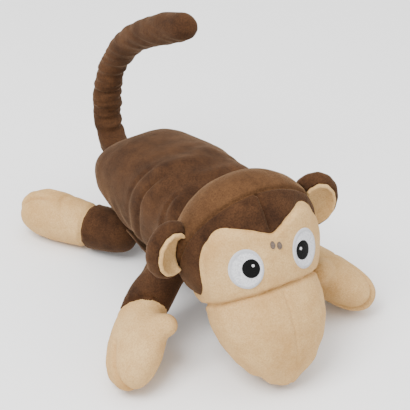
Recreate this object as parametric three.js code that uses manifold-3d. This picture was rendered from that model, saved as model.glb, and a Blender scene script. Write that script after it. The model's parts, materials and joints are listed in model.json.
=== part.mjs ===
// A battery-powered plush monkey that lies on its belly, laughs and rolls over.
// A motor in the torso turns a yoke that carries the head and both arms, so that one hand pushes on the floor.
// Millimetres. +Z is up, the monkey faces -Y, and +X is its left side. The origin is on the floor.
import * as THREE from "three";
import { mergeVertices } from "three/addons/utils/BufferGeometryUtils.js";
import Module from "manifold-3d";

const wasm = await Module();
wasm.setup();

// ---- Driving dimensions ----------------------------------------------------------------------

const SKIN = 2.6; // plush cloth with its pile
const TOUCH = 0.35; // gap between two pieces that rest on each other
const TWIST_GAP = 1.6; // gap between the shoulder and torso skins, where the cloth twists

// Torso: where each section stands, its half width, top, bottom.
const SPLIT_Y = -20; // the plane between the turning front half and the torso
const TORSO = [
  { y: -19.2, w: 41.5, top: 111.5, bottom: 34 },
  { y: -4, w: 42, top: 109.5, bottom: 32 },
  { y: 16, w: 41.5, top: 104, bottom: 31 },
  { y: 36, w: 40.5, top: 98, bottom: 31 },
  { y: 54, w: 39, top: 92.5, bottom: 31 },
  { y: 68, w: 37, top: 86, bottom: 33 },
  { y: 79, w: 33, top: 77, bottom: 37 },
  { y: 86, w: 26, top: 68.5, bottom: 42.5 },
  { y: 88.5, w: 16, top: 61.5, bottom: 48.5 },
];
const TORSO_SQUARE = 2.5; // 2 is an ellipse, more is a rounder box
const SHOULDER = [
  { y: SPLIT_Y - TWIST_GAP, w: 41.5, top: 111.5, bottom: 34.5 },
  { y: -34, w: 41, top: 112.5, bottom: 35 },
  { y: -46, w: 38, top: 109, bottom: 36 },
  { y: -58, w: 33, top: 97, bottom: 38 },
  { y: -68, w: 24, top: 78, bottom: 42 },
];

// Head: a ball that is deeper at the mouth than at the brow.
const HEAD = { y: -77, z: 90, rx: 50.5, front: 39, lean: 14, bulge: 8, back: 36, rz: 44, jaw: 2.5 };
const CROWN_SEAM = { y: -78, z: 90, lean: 0.28 }; // the seam over the head from ear to ear
const MASK_THICK = 2.4;
const MASK = { notch: 112.5, top: 116.5, lobe: 25, half: 43.5, waist: 90, chin: 39, low: 38 };
const MUZZLE = { y: -96, z: 59, tilt: 35.5 }; // where the mouth seam's plane is centred, and its tilt
const MUZZLE_SECTIONS = [
  { s: -8, half: 38, front: 27, back: 24 },
  { s: 0, half: 40, front: 30, back: 27 },
  { s: 14, half: 40, front: 33.5, back: 27 },
  { s: 28, half: 37, front: 33, back: 24 },
  { s: 42, half: 31, front: 28, back: 18 },
  { s: 54, half: 21.5, front: 19, back: 11 },
  { s: 62, half: 12, front: 9.5, back: 6 },
  { s: 66.5, half: 6, front: 3.5, back: 3 },
];
const EYE = { x: 21.5, z: 94.5, rx: 10.8, rz: 13, thick: 0.9 };
const PUPIL = { shift: 2.8, r: 6, thick: 0.8 };
const EAR = { x: 54.5, y: -74, z: 96, out: 18, thick: 10.5, tall: 21.5, yaw: -12, rim: 4.5, scoop: 8.6 };
const LINING = 2;

// Arms. Yaws are measured outwards from straight ahead; the right arm lies further out than the left.
const SHOULDER_JOINT = { x: 35, y: -40, z: 57.5 };
const ARM = { length: 41, wide: 18.5, thick: 15 };
const HAND_SECTIONS = [
  { s: 0, wide: 18.5, thick: 14 },
  { s: 10, wide: 21.5, thick: 15.5 },
  { s: 24, wide: 24, thick: 16.5 },
  { s: 37, wide: 23.5, thick: 16 },
  { s: 48, wide: 19, thick: 13.5 },
  { s: 55, wide: 11.5, thick: 9 },
  { s: 58, wide: 5, thick: 4.5 },
];
const THUMB = { from: 20, out: 37, r: 10, tip: 8.5 };
const ARM_POSE = {
  left: { side: 1, arm: 60, hand: 30, drop: 43, dip: 15, roll: 44 },
  right: { side: -1, arm: 70, hand: 37, drop: 43, dip: 15, roll: 44 },
};

// Legs
const HIP = { x: 30, y: 49, z: 20.5, r: 16 };
const LEG = { length: 24, wide: 16.5, tall: 17, yaw: 34 };
const LEG_SWING = 15; // how far each leg swings in and out
const LEG_CLEAR = 1; // gap to the torso over that swing
const FOOT_SECTIONS = [
  { s: 0, wide: 16, tall: 16.5 },
  { s: 12, wide: 17, tall: 18 },
  { s: 27, wide: 18.5, tall: 19 },
  { s: 41, wide: 18, tall: 18 },
  { s: 51, wide: 14, tall: 14 },
  { s: 57, wide: 7, tall: 7.5 },
];
const FOOT_Z = 18.3;

// Tail: the line that its wire follows, and the tube's radius at each point.
const TAIL = [
  [0, 99.5, 51, 9.4],
  [0, 108, 50.5, 9.4],
  [0.5, 117.5, 55, 9.8],
  [1.5, 124.5, 66, 10.6],
  [3, 127, 82, 11.2],
  [5, 126, 101, 10.2],
  [8, 118, 121, 10.2],
  [11, 102, 141, 10.6],
  [14.5, 80, 158, 11],
  [17.5, 58, 171, 11.2],
  [20, 40, 180.5, 10.6],
  [21, 33.5, 183.6, 8.4],
  [21.3, 30.5, 185, 4.6],
];
const TAIL_WIRE_R = 1.5;

// Belly opening, its flap and its two tapes
const OPENING = { half: 27, front: -14.5, rear: 30 };
const FLAP = { half: 33, front: -16.5, rear: 30.8, thick: 2.4, edge: 40, sag: 26.5, gape: 5 };
const TAPE = { wide: 4, thick: 1 };

// Plastic case inside the torso
const CASE = { inset: 4.4, wall: 2, front: -17, rear: 70, floor: 43.5, split: 66 };
const CELL = { r: 5.2, length: 44.5, gap: 0.7, count: 3 }; // AAA cells, lying across the body
const BAY = { front: -4.6, room: 0.75 }; // front of the cells' bay, and the gap over the cells
const cellZ = CASE.floor + CASE.wall + TOUCH + CELL.r; // height of the cells' axes
const bayTop = cellZ + CELL.r + BAY.room + CASE.wall;
const CONTACT = 2.6; // room for the contacts at each end of the cells
const DOOR_LIP = 0.5; // clearance round the battery door
const SCREW = { head: 2.5, shank: 1.2, headTall: 1.6 };
const CASE_SCREWS = [[-25, 36.5], [25, 36.5], [-20, 60], [20, 60]];
const SWITCH = { x: 0, y: -9.6, travel: 4 };

// Gear train. All the gears share one module, and their shafts lie along Y.
const GEAR = { module: 0.8, pinion: 8, wheel: 24, output: 30, face: 3, backlash: 0.32 };
const YOKE_Z = bayTop + 15; // height of the yoke's axis, clear of the bay by the wheels' size
const FIRST_GEAR_ANGLE = -15; // where the first reduction gear sits round the yoke's axis
const MOTOR_ANGLE = 240; // where the motor sits, seen from the last reduction gear
const STAGE_Y = [-12.4, -7.4, -2.4, 2.6]; // front face of each stage's wheel
const SHAFT_R = 1.4;
const SHAFT_GAP = 0.3;
const YOKE_SHAFT_R = 5;
const SPEAKER = { z: 60.5, r: 14 };
const MOTOR = { r: 10, flat: 7.6, length: 25, front: 10.5 };

// ---- Geometry helpers ------------------------------------------------------------------------

const V = (x, y, z) => new THREE.Vector3(x, y, z);
const rad = THREE.MathUtils.degToRad;

// A closed three.js geometry as a manifold solid.
function solid(geometry) {
  const bare = geometry.clone();
  for (const name of ["normal", "uv"]) bare.deleteAttribute(name);
  const merged = mergeVertices(bare, 1e-4);
  return new wasm.Manifold(
    new wasm.Mesh({
      numProp: 3,
      vertProperties: new Float32Array(merged.attributes.position.array),
      triVerts: new Uint32Array(merged.index.array),
    }),
  );
}

// A manifold solid as a three.js geometry.
function geometryOf(made) {
  const mesh = made.getMesh();
  const places = new Float32Array(mesh.numVert * 3);
  for (let i = 0; i < mesh.numVert; i++) {
    places.set(mesh.vertProperties.subarray(i * mesh.numProp, i * mesh.numProp + 3), i * 3);
  }
  const geometry = new THREE.BufferGeometry();
  geometry.setAttribute("position", new THREE.BufferAttribute(places, 3));
  geometry.setIndex(new THREE.BufferAttribute(mesh.triVerts, 1));
  geometry.computeVertexNormals();
  return geometry;
}

const placed = (geometry, matrix) => solid(geometry.applyMatrix4(matrix));
const shift = (x, y, z) => new THREE.Matrix4().makeTranslation(x, y, z);

// A box from its lowest to its highest corner.
function box(x0, y0, z0, x1, y1, z1) {
  const block = new THREE.BoxGeometry(x1 - x0, y1 - y0, z1 - z0);
  return placed(block, shift((x0 + x1) / 2, (y0 + y1) / 2, (z0 + z1) / 2));
}

// A round bar between two points.
function rod(from, to, r, tip = r, sides = 12) {
  const along = to.clone().sub(from);
  const turn = new THREE.Quaternion().setFromUnitVectors(V(0, 1, 0), along.clone().normalize());
  const middle = from.clone().add(to).multiplyScalar(0.5);
  const bar = new THREE.CylinderGeometry(tip, r, along.length(), sides);
  return placed(bar, new THREE.Matrix4().compose(middle, turn, V(1, 1, 1)));
}

// Everything on the side of a plane that its normal points to.
function halfSpace(point, normal) {
  const reach = 500;
  const turn = new THREE.Quaternion().setFromUnitVectors(V(0, 0, 1), normal.clone().normalize());
  const centre = point.clone().addScaledVector(normal.clone().normalize(), reach / 2);
  const block = new THREE.BoxGeometry(reach, reach, reach);
  return placed(block, new THREE.Matrix4().compose(centre, turn, V(1, 1, 1)));
}

// A closed skin through rings of points, which all have the same count, with a fan over each end.
function loft(rings) {
  const sides = rings[0].length;
  const places = [];
  const faces = [];
  rings.forEach((ring) => ring.forEach((p) => places.push(p.x, p.y, p.z)));
  for (let r = 0; r + 1 < rings.length; r++) {
    for (let i = 0; i < sides; i++) {
      const a = r * sides + i;
      const b = r * sides + ((i + 1) % sides);
      faces.push(a, b, a + sides, b, b + sides, a + sides);
    }
  }
  [0, rings.length - 1].forEach((r, end) => {
    const hub = places.length / 3;
    const middle = rings[r].reduce((sum, p) => sum.add(p), V(0, 0, 0)).divideScalar(sides);
    places.push(middle.x, middle.y, middle.z);
    for (let i = 0; i < sides; i++) {
      const a = r * sides + i;
      const b = r * sides + ((i + 1) % sides);
      faces.push(...(end ? [hub, a, b] : [hub, b, a]));
    }
  });
  const geometry = new THREE.BufferGeometry();
  geometry.setAttribute("position", new THREE.Float32BufferAttribute(places, 3));
  geometry.setIndex(faces);
  const made = solid(geometry);
  if (made.volume() > 0) return made;
  const turned = [];
  for (let i = 0; i < faces.length; i += 3) turned.push(faces[i], faces[i + 2], faces[i + 1]);
  geometry.setIndex(turned);
  return solid(geometry);
}

const power = (v, square) => Math.sign(v) * Math.abs(v) ** (2 / square);

// One ring round a centre: u and v are unit directions, and a, b and below are the reaches along u, v and -v.
function ring(centre, u, v, a, b, below = b, sides = 18, square = 2) {
  return Array.from({ length: sides }, (_, i) => {
    const angle = (i / sides) * 2 * Math.PI;
    const c = power(Math.cos(angle), square);
    const s = power(Math.sin(angle), square);
    return centre.clone().addScaledVector(u, c * a).addScaledVector(v, s * (s > 0 ? b : below));
  });
}

// ---- Torso and shoulders ---------------------------------------------------------------------

// A closed trunk through sections, shrunk by an inset. A negative inset grows it, and moves its rear end out too.
function trunk(sections, inset, sides = 22) {
  return loft(
    sections.map((s, i) => {
      const half = (s.top - s.bottom) / 2 - inset;
      const rearShift = i === sections.length - 1 && s.y > 0 ? Math.max(0, -inset) : 0;
      const centre = V(0, s.y + rearShift, (s.top + s.bottom) / 2);
      return ring(centre, V(1, 0, 0), V(0, 0, 1), s.w - inset, half, half, sides, TORSO_SQUARE);
    }),
  );
}

// The inside of a shell of the same sections: it runs on past the open end and stops short of the closed end.
function trunkInside(sections, past, stop) {
  const [first, ...rest] = sections;
  const last = rest[rest.length - 2];
  return trunk([{ ...first, y: first.y + past }, ...rest.slice(0, -2), { ...last, y: last.y + stop }], SKIN, 18);
}

const belly = box(
  -OPENING.half, OPENING.front, 0,
  OPENING.half, OPENING.rear, CASE.floor + 1,
);
const torsoSkin = trunk(TORSO, 0).subtract(trunkInside(TORSO, -3, -1.5)).subtract(belly);

// ---- Head ------------------------------------------------------------------------------------

// A point on the head, grown by some millimetres, for a unit direction. The lower half is fuller, by HEAD.jaw.
function headPoint(unit, grow) {
  const d = unit.clone();
  if (unit.z < 0) {
    const level = Math.hypot(unit.x, unit.y);
    const fuller = level > 0 ? level ** (2 / HEAD.jaw) / level : 0;
    d.set(unit.x * fuller, unit.y * fuller, power(unit.z, HEAD.jaw));
  }
  const deep = d.y < 0 ? HEAD.front - HEAD.lean * d.z + HEAD.bulge * d.z ** 2 : HEAD.back;
  return V(
    d.x * (HEAD.rx + grow),
    HEAD.y + d.y * (deep + grow),
    HEAD.z + d.z * (HEAD.rz + grow),
  );
}

function headBall(grow, around = 22, high = 12) {
  const ball = new THREE.SphereGeometry(1, around, high).rotateX(Math.PI / 2);
  const places = ball.attributes.position;
  for (let i = 0; i < places.count; i++) {
    const p = headPoint(V(places.getX(i), places.getY(i), places.getZ(i)), grow);
    places.setXYZ(i, p.x, p.y, p.z);
  }
  return solid(ball);
}

const muzzleAxis = V(0, -Math.sin(rad(MUZZLE.tilt)), -Math.cos(rad(MUZZLE.tilt)));
const muzzleFront = V(0, -Math.cos(rad(MUZZLE.tilt)), Math.sin(rad(MUZZLE.tilt)));

function muzzleSolid(inset, sides = 20) {
  const kept = MUZZLE_SECTIONS.filter((s) => Math.min(s.half, s.front + s.back) > 2 * inset + 3);
  return loft(
    kept.map((s) => {
      const centre = V(0, MUZZLE.y, MUZZLE.z).addScaledVector(muzzleAxis, s.s - (s.s > 60 ? inset : 0));
      return ring(centre, V(1, 0, 0), muzzleFront, s.half - inset, s.front - inset, s.back - inset, sides, 2.3);
    }),
  );
}

const headOuter = headBall(0);
const headCore = headBall(-SKIN, 16, 10);
const mouthPlane = V(0, MUZZLE.y, MUZZLE.z);
const aboveMouth = halfSpace(mouthPlane, muzzleAxis.clone().negate());
const belowMouth = halfSpace(mouthPlane.clone().addScaledVector(muzzleAxis, TOUCH), muzzleAxis);
const muzzleOuter = muzzleSolid(0).intersect(belowMouth);
const muzzleCore = muzzleSolid(SKIN, 14);
const neckHole = rod(V(0, -60, 82), V(0, -30, 82), 17, 17, 16);
const crownNormal = V(0, -1, -CROWN_SEAM.lean).normalize();
const crownPoint = V(0, CROWN_SEAM.y, CROWN_SEAM.z);
const headShell = headOuter.subtract(headCore).subtract(neckHole);
const headBack = headShell.subtract(halfSpace(crownPoint, crownNormal));
const headFront = headShell
  .intersect(halfSpace(crownPoint.clone().addScaledVector(crownNormal, TOUCH), crownNormal))
  .subtract(muzzleCore);
const muzzleSkin = muzzleOuter.subtract(muzzleCore).subtract(headBall(TOUCH));

// Face mask: a shaped patch that lies on the front of the head, above the mouth seam.
function maskOutline() {
  const { notch, top, lobe, half, waist, chin, low } = MASK;
  const outline = new THREE.Shape();
  outline.moveTo(0, notch);
  outline.bezierCurveTo(lobe / 3, notch + 1, lobe * 0.55, top, lobe, top);
  outline.bezierCurveTo(half * 0.88, top, half, (top + waist) / 2, half, waist);
  outline.bezierCurveTo(half, waist - 16, half * 0.94, waist - 30, chin, low);
  outline.lineTo(-chin, low);
  outline.bezierCurveTo(-half * 0.94, waist - 30, -half, waist - 16, -half, waist);
  outline.bezierCurveTo(-half, (top + waist) / 2, -half * 0.88, top, -lobe, top);
  outline.bezierCurveTo(-lobe * 0.55, top, -lobe / 3, notch + 1, 0, notch);
  return outline;
}
const maskPrism = placed(
  new THREE.ExtrudeGeometry(maskOutline(), { depth: 60, bevelEnabled: false, curveSegments: 6 }),
  new THREE.Matrix4().makeRotationX(Math.PI / 2).setPosition(0, HEAD.y, 0),
);
const maskSkin = headBall(MASK_THICK)
  .subtract(headBall(TOUCH))
  .intersect(maskPrism)
  .intersect(aboveMouth);

// A disc of embroidery that follows the face at (x, z).
function stitchedDisc(x, z, rx, rz, from, to) {
  const disc = new THREE.CylinderGeometry(1, 1, 80, 16).scale(rx, 1, rz);
  const column = placed(disc, shift(x, HEAD.y - 40, z));
  return headBall(to).subtract(headBall(from)).intersect(column);
}
const faceTop = MASK_THICK + TOUCH;

function ear(side) {
  const turn = new THREE.Matrix4().makeRotationZ(rad(EAR.yaw * side));
  const place = turn.setPosition(EAR.x * side, EAR.y, EAR.z);
  const scoopPlace = shift(side, -EAR.scoop, 0).premultiply(place);
  const bowl = (rim, matrix, around) =>
    placed(
      new THREE.SphereGeometry(1, around, 8).scale(EAR.out - rim, EAR.thick - Math.max(0, rim - EAR.rim), EAR.tall - rim),
      matrix,
    );
  const outside = bowl(0, place, 14);
  const room = headBall(TOUCH);
  return {
    cup: outside.subtract(bowl(EAR.rim, scoopPlace, 12)).subtract(room),
    lining: bowl(EAR.rim + TOUCH, scoopPlace, 12)
      .subtract(bowl(EAR.rim + TOUCH + LINING, scoopPlace, 12))
      .intersect(outside)
      .subtract(room),
  };
}

// ---- Arms and hands --------------------------------------------------------------------------

// The directions along, across (towards the thumb) and out of the back of a hand or sleeve.
function limbFrame(side, yaw, dip, roll) {
  const along = V(
    side * Math.sin(rad(yaw)) * Math.cos(rad(dip)),
    -Math.cos(rad(yaw)) * Math.cos(rad(dip)),
    -Math.sin(rad(dip)),
  );
  const level = V(-side * Math.cos(rad(yaw)), -Math.sin(rad(yaw)), 0);
  const across = level.applyAxisAngle(along, rad(-roll * side));
  if (across.z < 0) across.applyAxisAngle(along, rad(2 * roll * side));
  return { along, across, back: along.clone().cross(across).multiplyScalar(side) };
}

function armPlaces(pose) {
  const shoulder = V(SHOULDER_JOINT.x * pose.side, SHOULDER_JOINT.y, SHOULDER_JOINT.z);
  const upper = limbFrame(pose.side, pose.arm, pose.drop, pose.roll);
  const wrist = shoulder.clone().addScaledVector(upper.along, ARM.length);
  const lower = limbFrame(pose.side, pose.hand, pose.dip, pose.roll);
  return { shoulder, upper, wrist, lower };
}

function sleeveSolid(pose, inset, sides = 14) {
  const { shoulder, upper, wrist, lower } = armPlaces(pose);
  const steps = [-0.25, 0, 0.4, 0.75, 1, 1.12];
  return loft(
    steps.map((t) => {
      const mix = Math.max(0, (t - 0.5) / 0.6);
      const centre = shoulder.clone().lerp(wrist, t);
      if (t > 1) centre.copy(wrist).addScaledVector(lower.along, (t - 1) * ARM.length);
      const across = upper.across.clone().lerp(lower.across, mix).normalize();
      const back = upper.back.clone().lerp(lower.back, mix).normalize();
      return ring(centre, across, back, ARM.wide - inset, ARM.thick - inset, ARM.thick - inset, sides);
    }),
  );
}

function handSolid(pose, inset, sides = 14) {
  const { wrist, lower } = armPlaces(pose);
  const start = { ...HAND_SECTIONS[0], s: -6 };
  const palm = loft(
    [start, ...HAND_SECTIONS]
      .filter((s) => s.thick - inset > 2.5)
      .map((s) =>
        ring(
          wrist.clone().addScaledVector(lower.along, s.s - (s.s > 50 ? inset : 0)),
          lower.across,
          lower.back,
          s.wide - inset,
          s.thick - inset,
          s.thick - inset,
          sides,
        ),
      ),
  );
  const root = wrist.clone().addScaledVector(lower.along, THUMB.from - 4).addScaledVector(lower.across, 10);
  const reach = THUMB.out - THUMB.tip - 10;
  const tip = root.clone().addScaledVector(lower.across, reach).addScaledVector(lower.along, 5);
  const knob = new THREE.SphereGeometry(THUMB.tip - inset, 10, 6);
  return palm
    .add(rod(root, tip, THUMB.r - inset, THUMB.tip - inset, 10))
    .add(placed(knob, shift(tip.x, tip.y, tip.z)));
}

// ---- Legs and feet ---------------------------------------------------------------------------

function legFrame(side) {
  const along = V(side * Math.sin(rad(LEG.yaw)), Math.cos(rad(LEG.yaw)), 0);
  return { along, across: V(side * Math.cos(rad(LEG.yaw)), -Math.sin(rad(LEG.yaw)), 0), up: V(0, 0, 1) };
}

function legSolid(side, inset, sides = 14) {
  const { along, across, up } = legFrame(side);
  const hip = V(HIP.x * side, HIP.y, HIP.z);
  const ball = [-0.97, -0.8, -0.5, 0];
  const rings = ball.map((t) => {
    const r = (HIP.r - inset) * Math.sqrt(1 - t * t);
    return ring(hip.clone().addScaledVector(along, t * (HIP.r - inset)), across, up, r, r, r, sides);
  });
  for (const t of [0.5, 1, 1.3]) {
    const centre = hip.clone().addScaledVector(along, LEG.length * t);
    centre.z = THREE.MathUtils.lerp(HIP.z, FOOT_Z, Math.min(t, 1));
    const tall = Math.min(LEG.tall, centre.z - 0.8) - inset;
    rings.push(ring(centre, across, up, LEG.wide - inset, tall, tall, sides));
  }
  return loft(rings);
}

function footSolid(side, inset, sides = 14) {
  const { along, across, up } = legFrame(side);
  const ankle = V(HIP.x * side, HIP.y, FOOT_Z).addScaledVector(along, LEG.length);
  const start = { ...FOOT_SECTIONS[0], s: -6 };
  return loft(
    [start, ...FOOT_SECTIONS]
      .filter((s) => s.wide - inset > 2.5)
      .map((s) => {
        const centre = ankle.clone().addScaledVector(along, s.s - (s.s > 50 ? inset : 0));
        const tall = s.tall - inset;
        return ring(centre, across, up, s.wide - inset, tall, tall, sides);
      }),
  );
}

// The torso as a leg meets it over its whole swing, which is what the leg keeps clear of.
function torsoSwept(side) {
  const hip = V(HIP.x * side, HIP.y, 0);
  const grown = trunk(TORSO, -LEG_CLEAR);
  const turns = [-LEG_SWING, -LEG_SWING / 2, 0, LEG_SWING / 2, LEG_SWING];
  return turns
    .map((angle) => {
      const spin = shift(hip.x, hip.y, 0)
        .multiply(new THREE.Matrix4().makeRotationZ(rad(angle)))
        .multiply(shift(-hip.x, -hip.y, 0));
      return placed(geometryOf(grown), spin);
    })
    .reduce((all, one) => all.add(one));
}

// ---- Tail ------------------------------------------------------------------------------------

const tailCurve = new THREE.CatmullRomCurve3(TAIL.map(([x, y, z]) => V(x, y, z)), false, "centripetal");

function tailRadius(t) {
  const place = t * (TAIL.length - 1);
  const i = Math.min(Math.floor(place), TAIL.length - 2);
  return THREE.MathUtils.lerp(TAIL[i][3], TAIL[i + 1][3], place - i);
}

function tailTube(from, to, steps, radiusAt, sides) {
  const rings = Array.from({ length: steps + 1 }, (_, i) => {
    const t = from + ((to - from) * i) / steps;
    const along = tailCurve.getTangent(t);
    const u = V(1, 0, 0).cross(along).normalize();
    const r = radiusAt(t);
    return ring(tailCurve.getPoint(t), u, along.clone().cross(u).normalize(), r, r, r, sides);
  });
  return loft(rings);
}
const [rootX, rootY, rootZ, rootR] = TAIL[0];
const rootBall = (inset, around) =>
  placed(new THREE.SphereGeometry(rootR - inset, around, around / 2), shift(rootX, rootY, rootZ));
const tailHole = rod(V(0, rootY - rootR - 1, rootZ), V(0, rootY, rootZ), 3.5, 3.5, 10);
const tailSkin = tailTube(0, 1, 20, tailRadius, 12)
  .add(rootBall(0, 12))
  .subtract(tailTube(0, 0.955, 12, (t) => tailRadius(t) - SKIN, 8))
  .subtract(rootBall(SKIN, 8))
  .subtract(tailHole);
const tailWire = tailTube(0.012, 0.93, 14, () => TAIL_WIRE_R, 6);
const tailStuffing = tailTube(0.01, 0.95, 12, (t) => tailRadius(t) - SKIN - TOUCH - 0.5, 8)
  .subtract(tailTube(0, 0.96, 14, () => TAIL_WIRE_R + TOUCH + 0.3, 6));

// ---- Case ------------------------------------------------------------------------------------

function caseLoft(inset, front, rear) {
  const at = (y) => {
    const i = Math.max(0, TORSO.findIndex((s) => s.y > y) - 1);
    const [a, b] = [TORSO[i], TORSO[i + 1]];
    const t = (y - a.y) / (b.y - a.y);
    const mix = (key) => THREE.MathUtils.lerp(a[key], b[key], t);
    return { y, w: mix("w"), top: mix("top"), bottom: mix("bottom") };
  };
  const ys = [front, ...TORSO.map((s) => s.y).filter((y) => y > front + 2 && y < rear - 2), rear];
  return trunk(ys.map(at), inset, 20);
}
const bayLength = CELL.count * (2 * CELL.r + CELL.gap) + CELL.gap;
const bayHalf = CELL.length / 2 + CONTACT;
const inFloor = halfSpace(V(0, 0, CASE.floor + CASE.wall), V(0, 0, 1));
const caseBody = caseLoft(CASE.inset, CASE.front, CASE.rear).intersect(halfSpace(V(0, 0, CASE.floor), V(0, 0, 1)));
const caseRoom = caseLoft(CASE.inset + CASE.wall, CASE.front + CASE.wall, CASE.rear - CASE.wall).intersect(inFloor);
const bayBlock = box(
  -bayHalf - CASE.wall, BAY.front - CASE.wall, CASE.floor,
  bayHalf + CASE.wall, BAY.front + bayLength + CASE.wall, bayTop,
);
const bayRoom = box(
  -bayHalf, BAY.front, CASE.floor - 1,
  bayHalf, BAY.front + bayLength, bayTop - CASE.wall,
);
const belowSplit = halfSpace(V(0, 0, CASE.split), V(0, 0, -1));
const aboveSplit = halfSpace(V(0, 0, CASE.split + TOUCH), V(0, 0, 1));

function screwBosses(z0, z1) {
  const r = SCREW.head + 1.2;
  return CASE_SCREWS.map(([x, y]) => rod(V(x, y, z0), V(x, y, z1), r, r, 8)
    .add(box(Math.min(x, x * 1.4), y - 1.2, z0, Math.max(x, x * 1.4), y + 1.2, z1)))
    .reduce((all, one) => all.add(one));
}

function screwHoles(z0, z1, r) {
  return CASE_SCREWS.map(([x, y]) => rod(V(x, y, z0), V(x, y, z1), r, r, 10)).reduce((all, one) => all.add(one));
}

// Gear centres in the (x, z) plane, from the output gear back to the motor.
const pitch = (teeth) => (GEAR.module * teeth) / 2;
const outputReach = pitch(GEAR.output) + pitch(GEAR.pinion);
const wheelReach = pitch(GEAR.wheel) + pitch(GEAR.pinion);
const gearStep = 2 * Math.asin(wheelReach / (2 * outputReach));
const away = (from, reach, angle) => ({
  x: from.x + reach * Math.cos(angle),
  z: from.z + reach * Math.sin(angle),
});
const gearPlaces = [{ x: 0, z: YOKE_Z }];
for (let i = 0; i < 3; i++) {
  gearPlaces.push(away(gearPlaces[0], outputReach, rad(FIRST_GEAR_ANGLE) + i * gearStep));
}
gearPlaces.push(away(gearPlaces[3], wheelReach, rad(MOTOR_ANGLE)));
const PLATE_Y = STAGE_Y[3] + GEAR.face + 1;
const yBar = (x, z, y0, y1, r, sides = 16) => rod(V(x, y0, z), V(x, y1, z), r, r, sides);

const motorPlace = gearPlaces[4];
const arborHoles = gearPlaces
  .slice(1, 4)
  .map((g) => yBar(g.x, g.z, CASE.front + 0.6, CASE.front + 40, SHAFT_R + SHAFT_GAP))
  .reduce((all, one) => all.add(one));
const yokeBore = yBar(0, YOKE_Z, CASE.front - 4, CASE.front + 6, YOKE_SHAFT_R + 0.4, 24);
const GRILLE_R = SPEAKER.r - 3;
const slit = (x, tall) =>
  box(x - 0.9, CASE.rear - 6, SPEAKER.z - tall, x + 0.9, CASE.rear + 2, SPEAKER.z + tall);
const speakerHoles = [-8, -4, 0, 4, 8]
  .map((x) => slit(x, Math.sqrt(GRILLE_R ** 2 - x ** 2)))
  .reduce((all, one) => all.add(one));
const knobSlot = box(
  SWITCH.x - 1.8, SWITCH.y - 1.4, CASE.floor - 1,
  SWITCH.x + 1.8 + SWITCH.travel, SWITCH.y + 1.4, CASE.floor + CASE.wall + 0.5,
);
const yPost = (y, r, z0, z1) => rod(V(0, y, z0), V(0, y, z1), r, r, 14);
const doorTabShape = (grow, z0, z1) =>
  yPost(doorTab.y, doorTab.r + grow, z0, z1)
    .add(box(-doorTab.r - grow, doorTab.y - 7, z0, doorTab.r + grow, doorTab.y, z1));
const doorRecess = box(
  -bayHalf - 1.2, BAY.front - 1.2, CASE.floor - 1,
  bayHalf + 1.2, BAY.front + bayLength + 1.2, CASE.floor + CASE.wall,
);
const doorTab = { y: BAY.front + bayLength + CASE.wall + 4.2, r: 4.6 };
const doorPost = yPost(doorTab.y, 4.4, CASE.floor + 0.2, CASE.floor + 11);
const doorScrewHole = yPost(doorTab.y, SCREW.shank + TOUCH, CASE.floor - 1, CASE.floor + 10);
const tabRecess = doorTabShape(DOOR_LIP, CASE.floor - 1, CASE.floor + CASE.wall);

const caseHollow = caseBody.subtract(caseRoom.subtract(bayBlock));
const bosses = screwBosses(CASE.floor, CASE.split).add(screwBosses(CASE.split, CASE.split + 6)).intersect(caseBody);
const caseWhole = caseHollow
  .add(bosses)
  .add(doorPost)
  .subtract(bayRoom)
  .subtract(doorRecess)
  .subtract(tabRecess)
  .subtract(doorScrewHole)
  .subtract(arborHoles)
  .subtract(yokeBore)
  .subtract(speakerHoles)
  .subtract(knobSlot)
  .subtract(screwHoles(CASE.floor - 1, CASE.floor + SCREW.headTall + TOUCH, SCREW.head + TOUCH))
  .subtract(screwHoles(CASE.floor, CASE.split + 5, SCREW.shank + TOUCH));
const caseLower = caseWhole.intersect(belowSplit);
const caseUpper = caseWhole.intersect(aboveSplit);

function screw(x, y, z, length) {
  const profile = [
    [0, 0], [SCREW.head, 0], [SCREW.head, SCREW.headTall], [SCREW.shank, SCREW.headTall],
    [SCREW.shank, length - 1.5], [0, length],
  ].map(([r, h]) => new THREE.Vector2(r, h));
  const body = placed(new THREE.LatheGeometry(profile, 10).rotateX(Math.PI / 2), shift(x, y, z));
  const slots = box(x - 0.4, y - 1.6, z - 1, x + 0.4, y + 1.6, z + 0.9).add(
    box(x - 1.6, y - 0.4, z - 1, x + 1.6, y + 0.4, z + 0.9),
  );
  return body.subtract(slots);
}

// ---- Gears -----------------------------------------------------------------------------------

// The flat outline of a gear, with a tooth centred on the first axis after a turn by phase.
function gearOutline(teeth, phase) {
  const r = pitch(teeth);
  const step = (2 * Math.PI) / teeth;
  const half = (step / 4) * (1 - (2 * GEAR.backlash) / (Math.PI * GEAR.module));
  const tipR = r + 0.9 * GEAR.module;
  const rootR = r - 1.2 * GEAR.module;
  const outline = new THREE.Shape();
  for (let i = 0; i < teeth; i++) {
    const middle = phase + i * step;
    for (const [radius, share] of [[rootR, -1.55], [tipR, -0.5], [tipR, 0.5], [rootR, 1.55]]) {
      const x = radius * Math.cos(middle + share * half);
      const z = radius * Math.sin(middle + share * half);
      if (i === 0 && share === -1.55) outline.moveTo(x, z);
      else outline.lineTo(x, z);
    }
  }
  outline.closePath();
  return outline;
}

// A gear whose axis is Y, from y0 to y1, centred on (x, z).
function gearBlank(teeth, phase, x, z, y0, y1) {
  const flat = new THREE.ExtrudeGeometry(gearOutline(teeth, phase), { depth: y1 - y0, bevelEnabled: false });
  return placed(flat.rotateX(Math.PI / 2), shift(x, y1, z));
}

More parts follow.
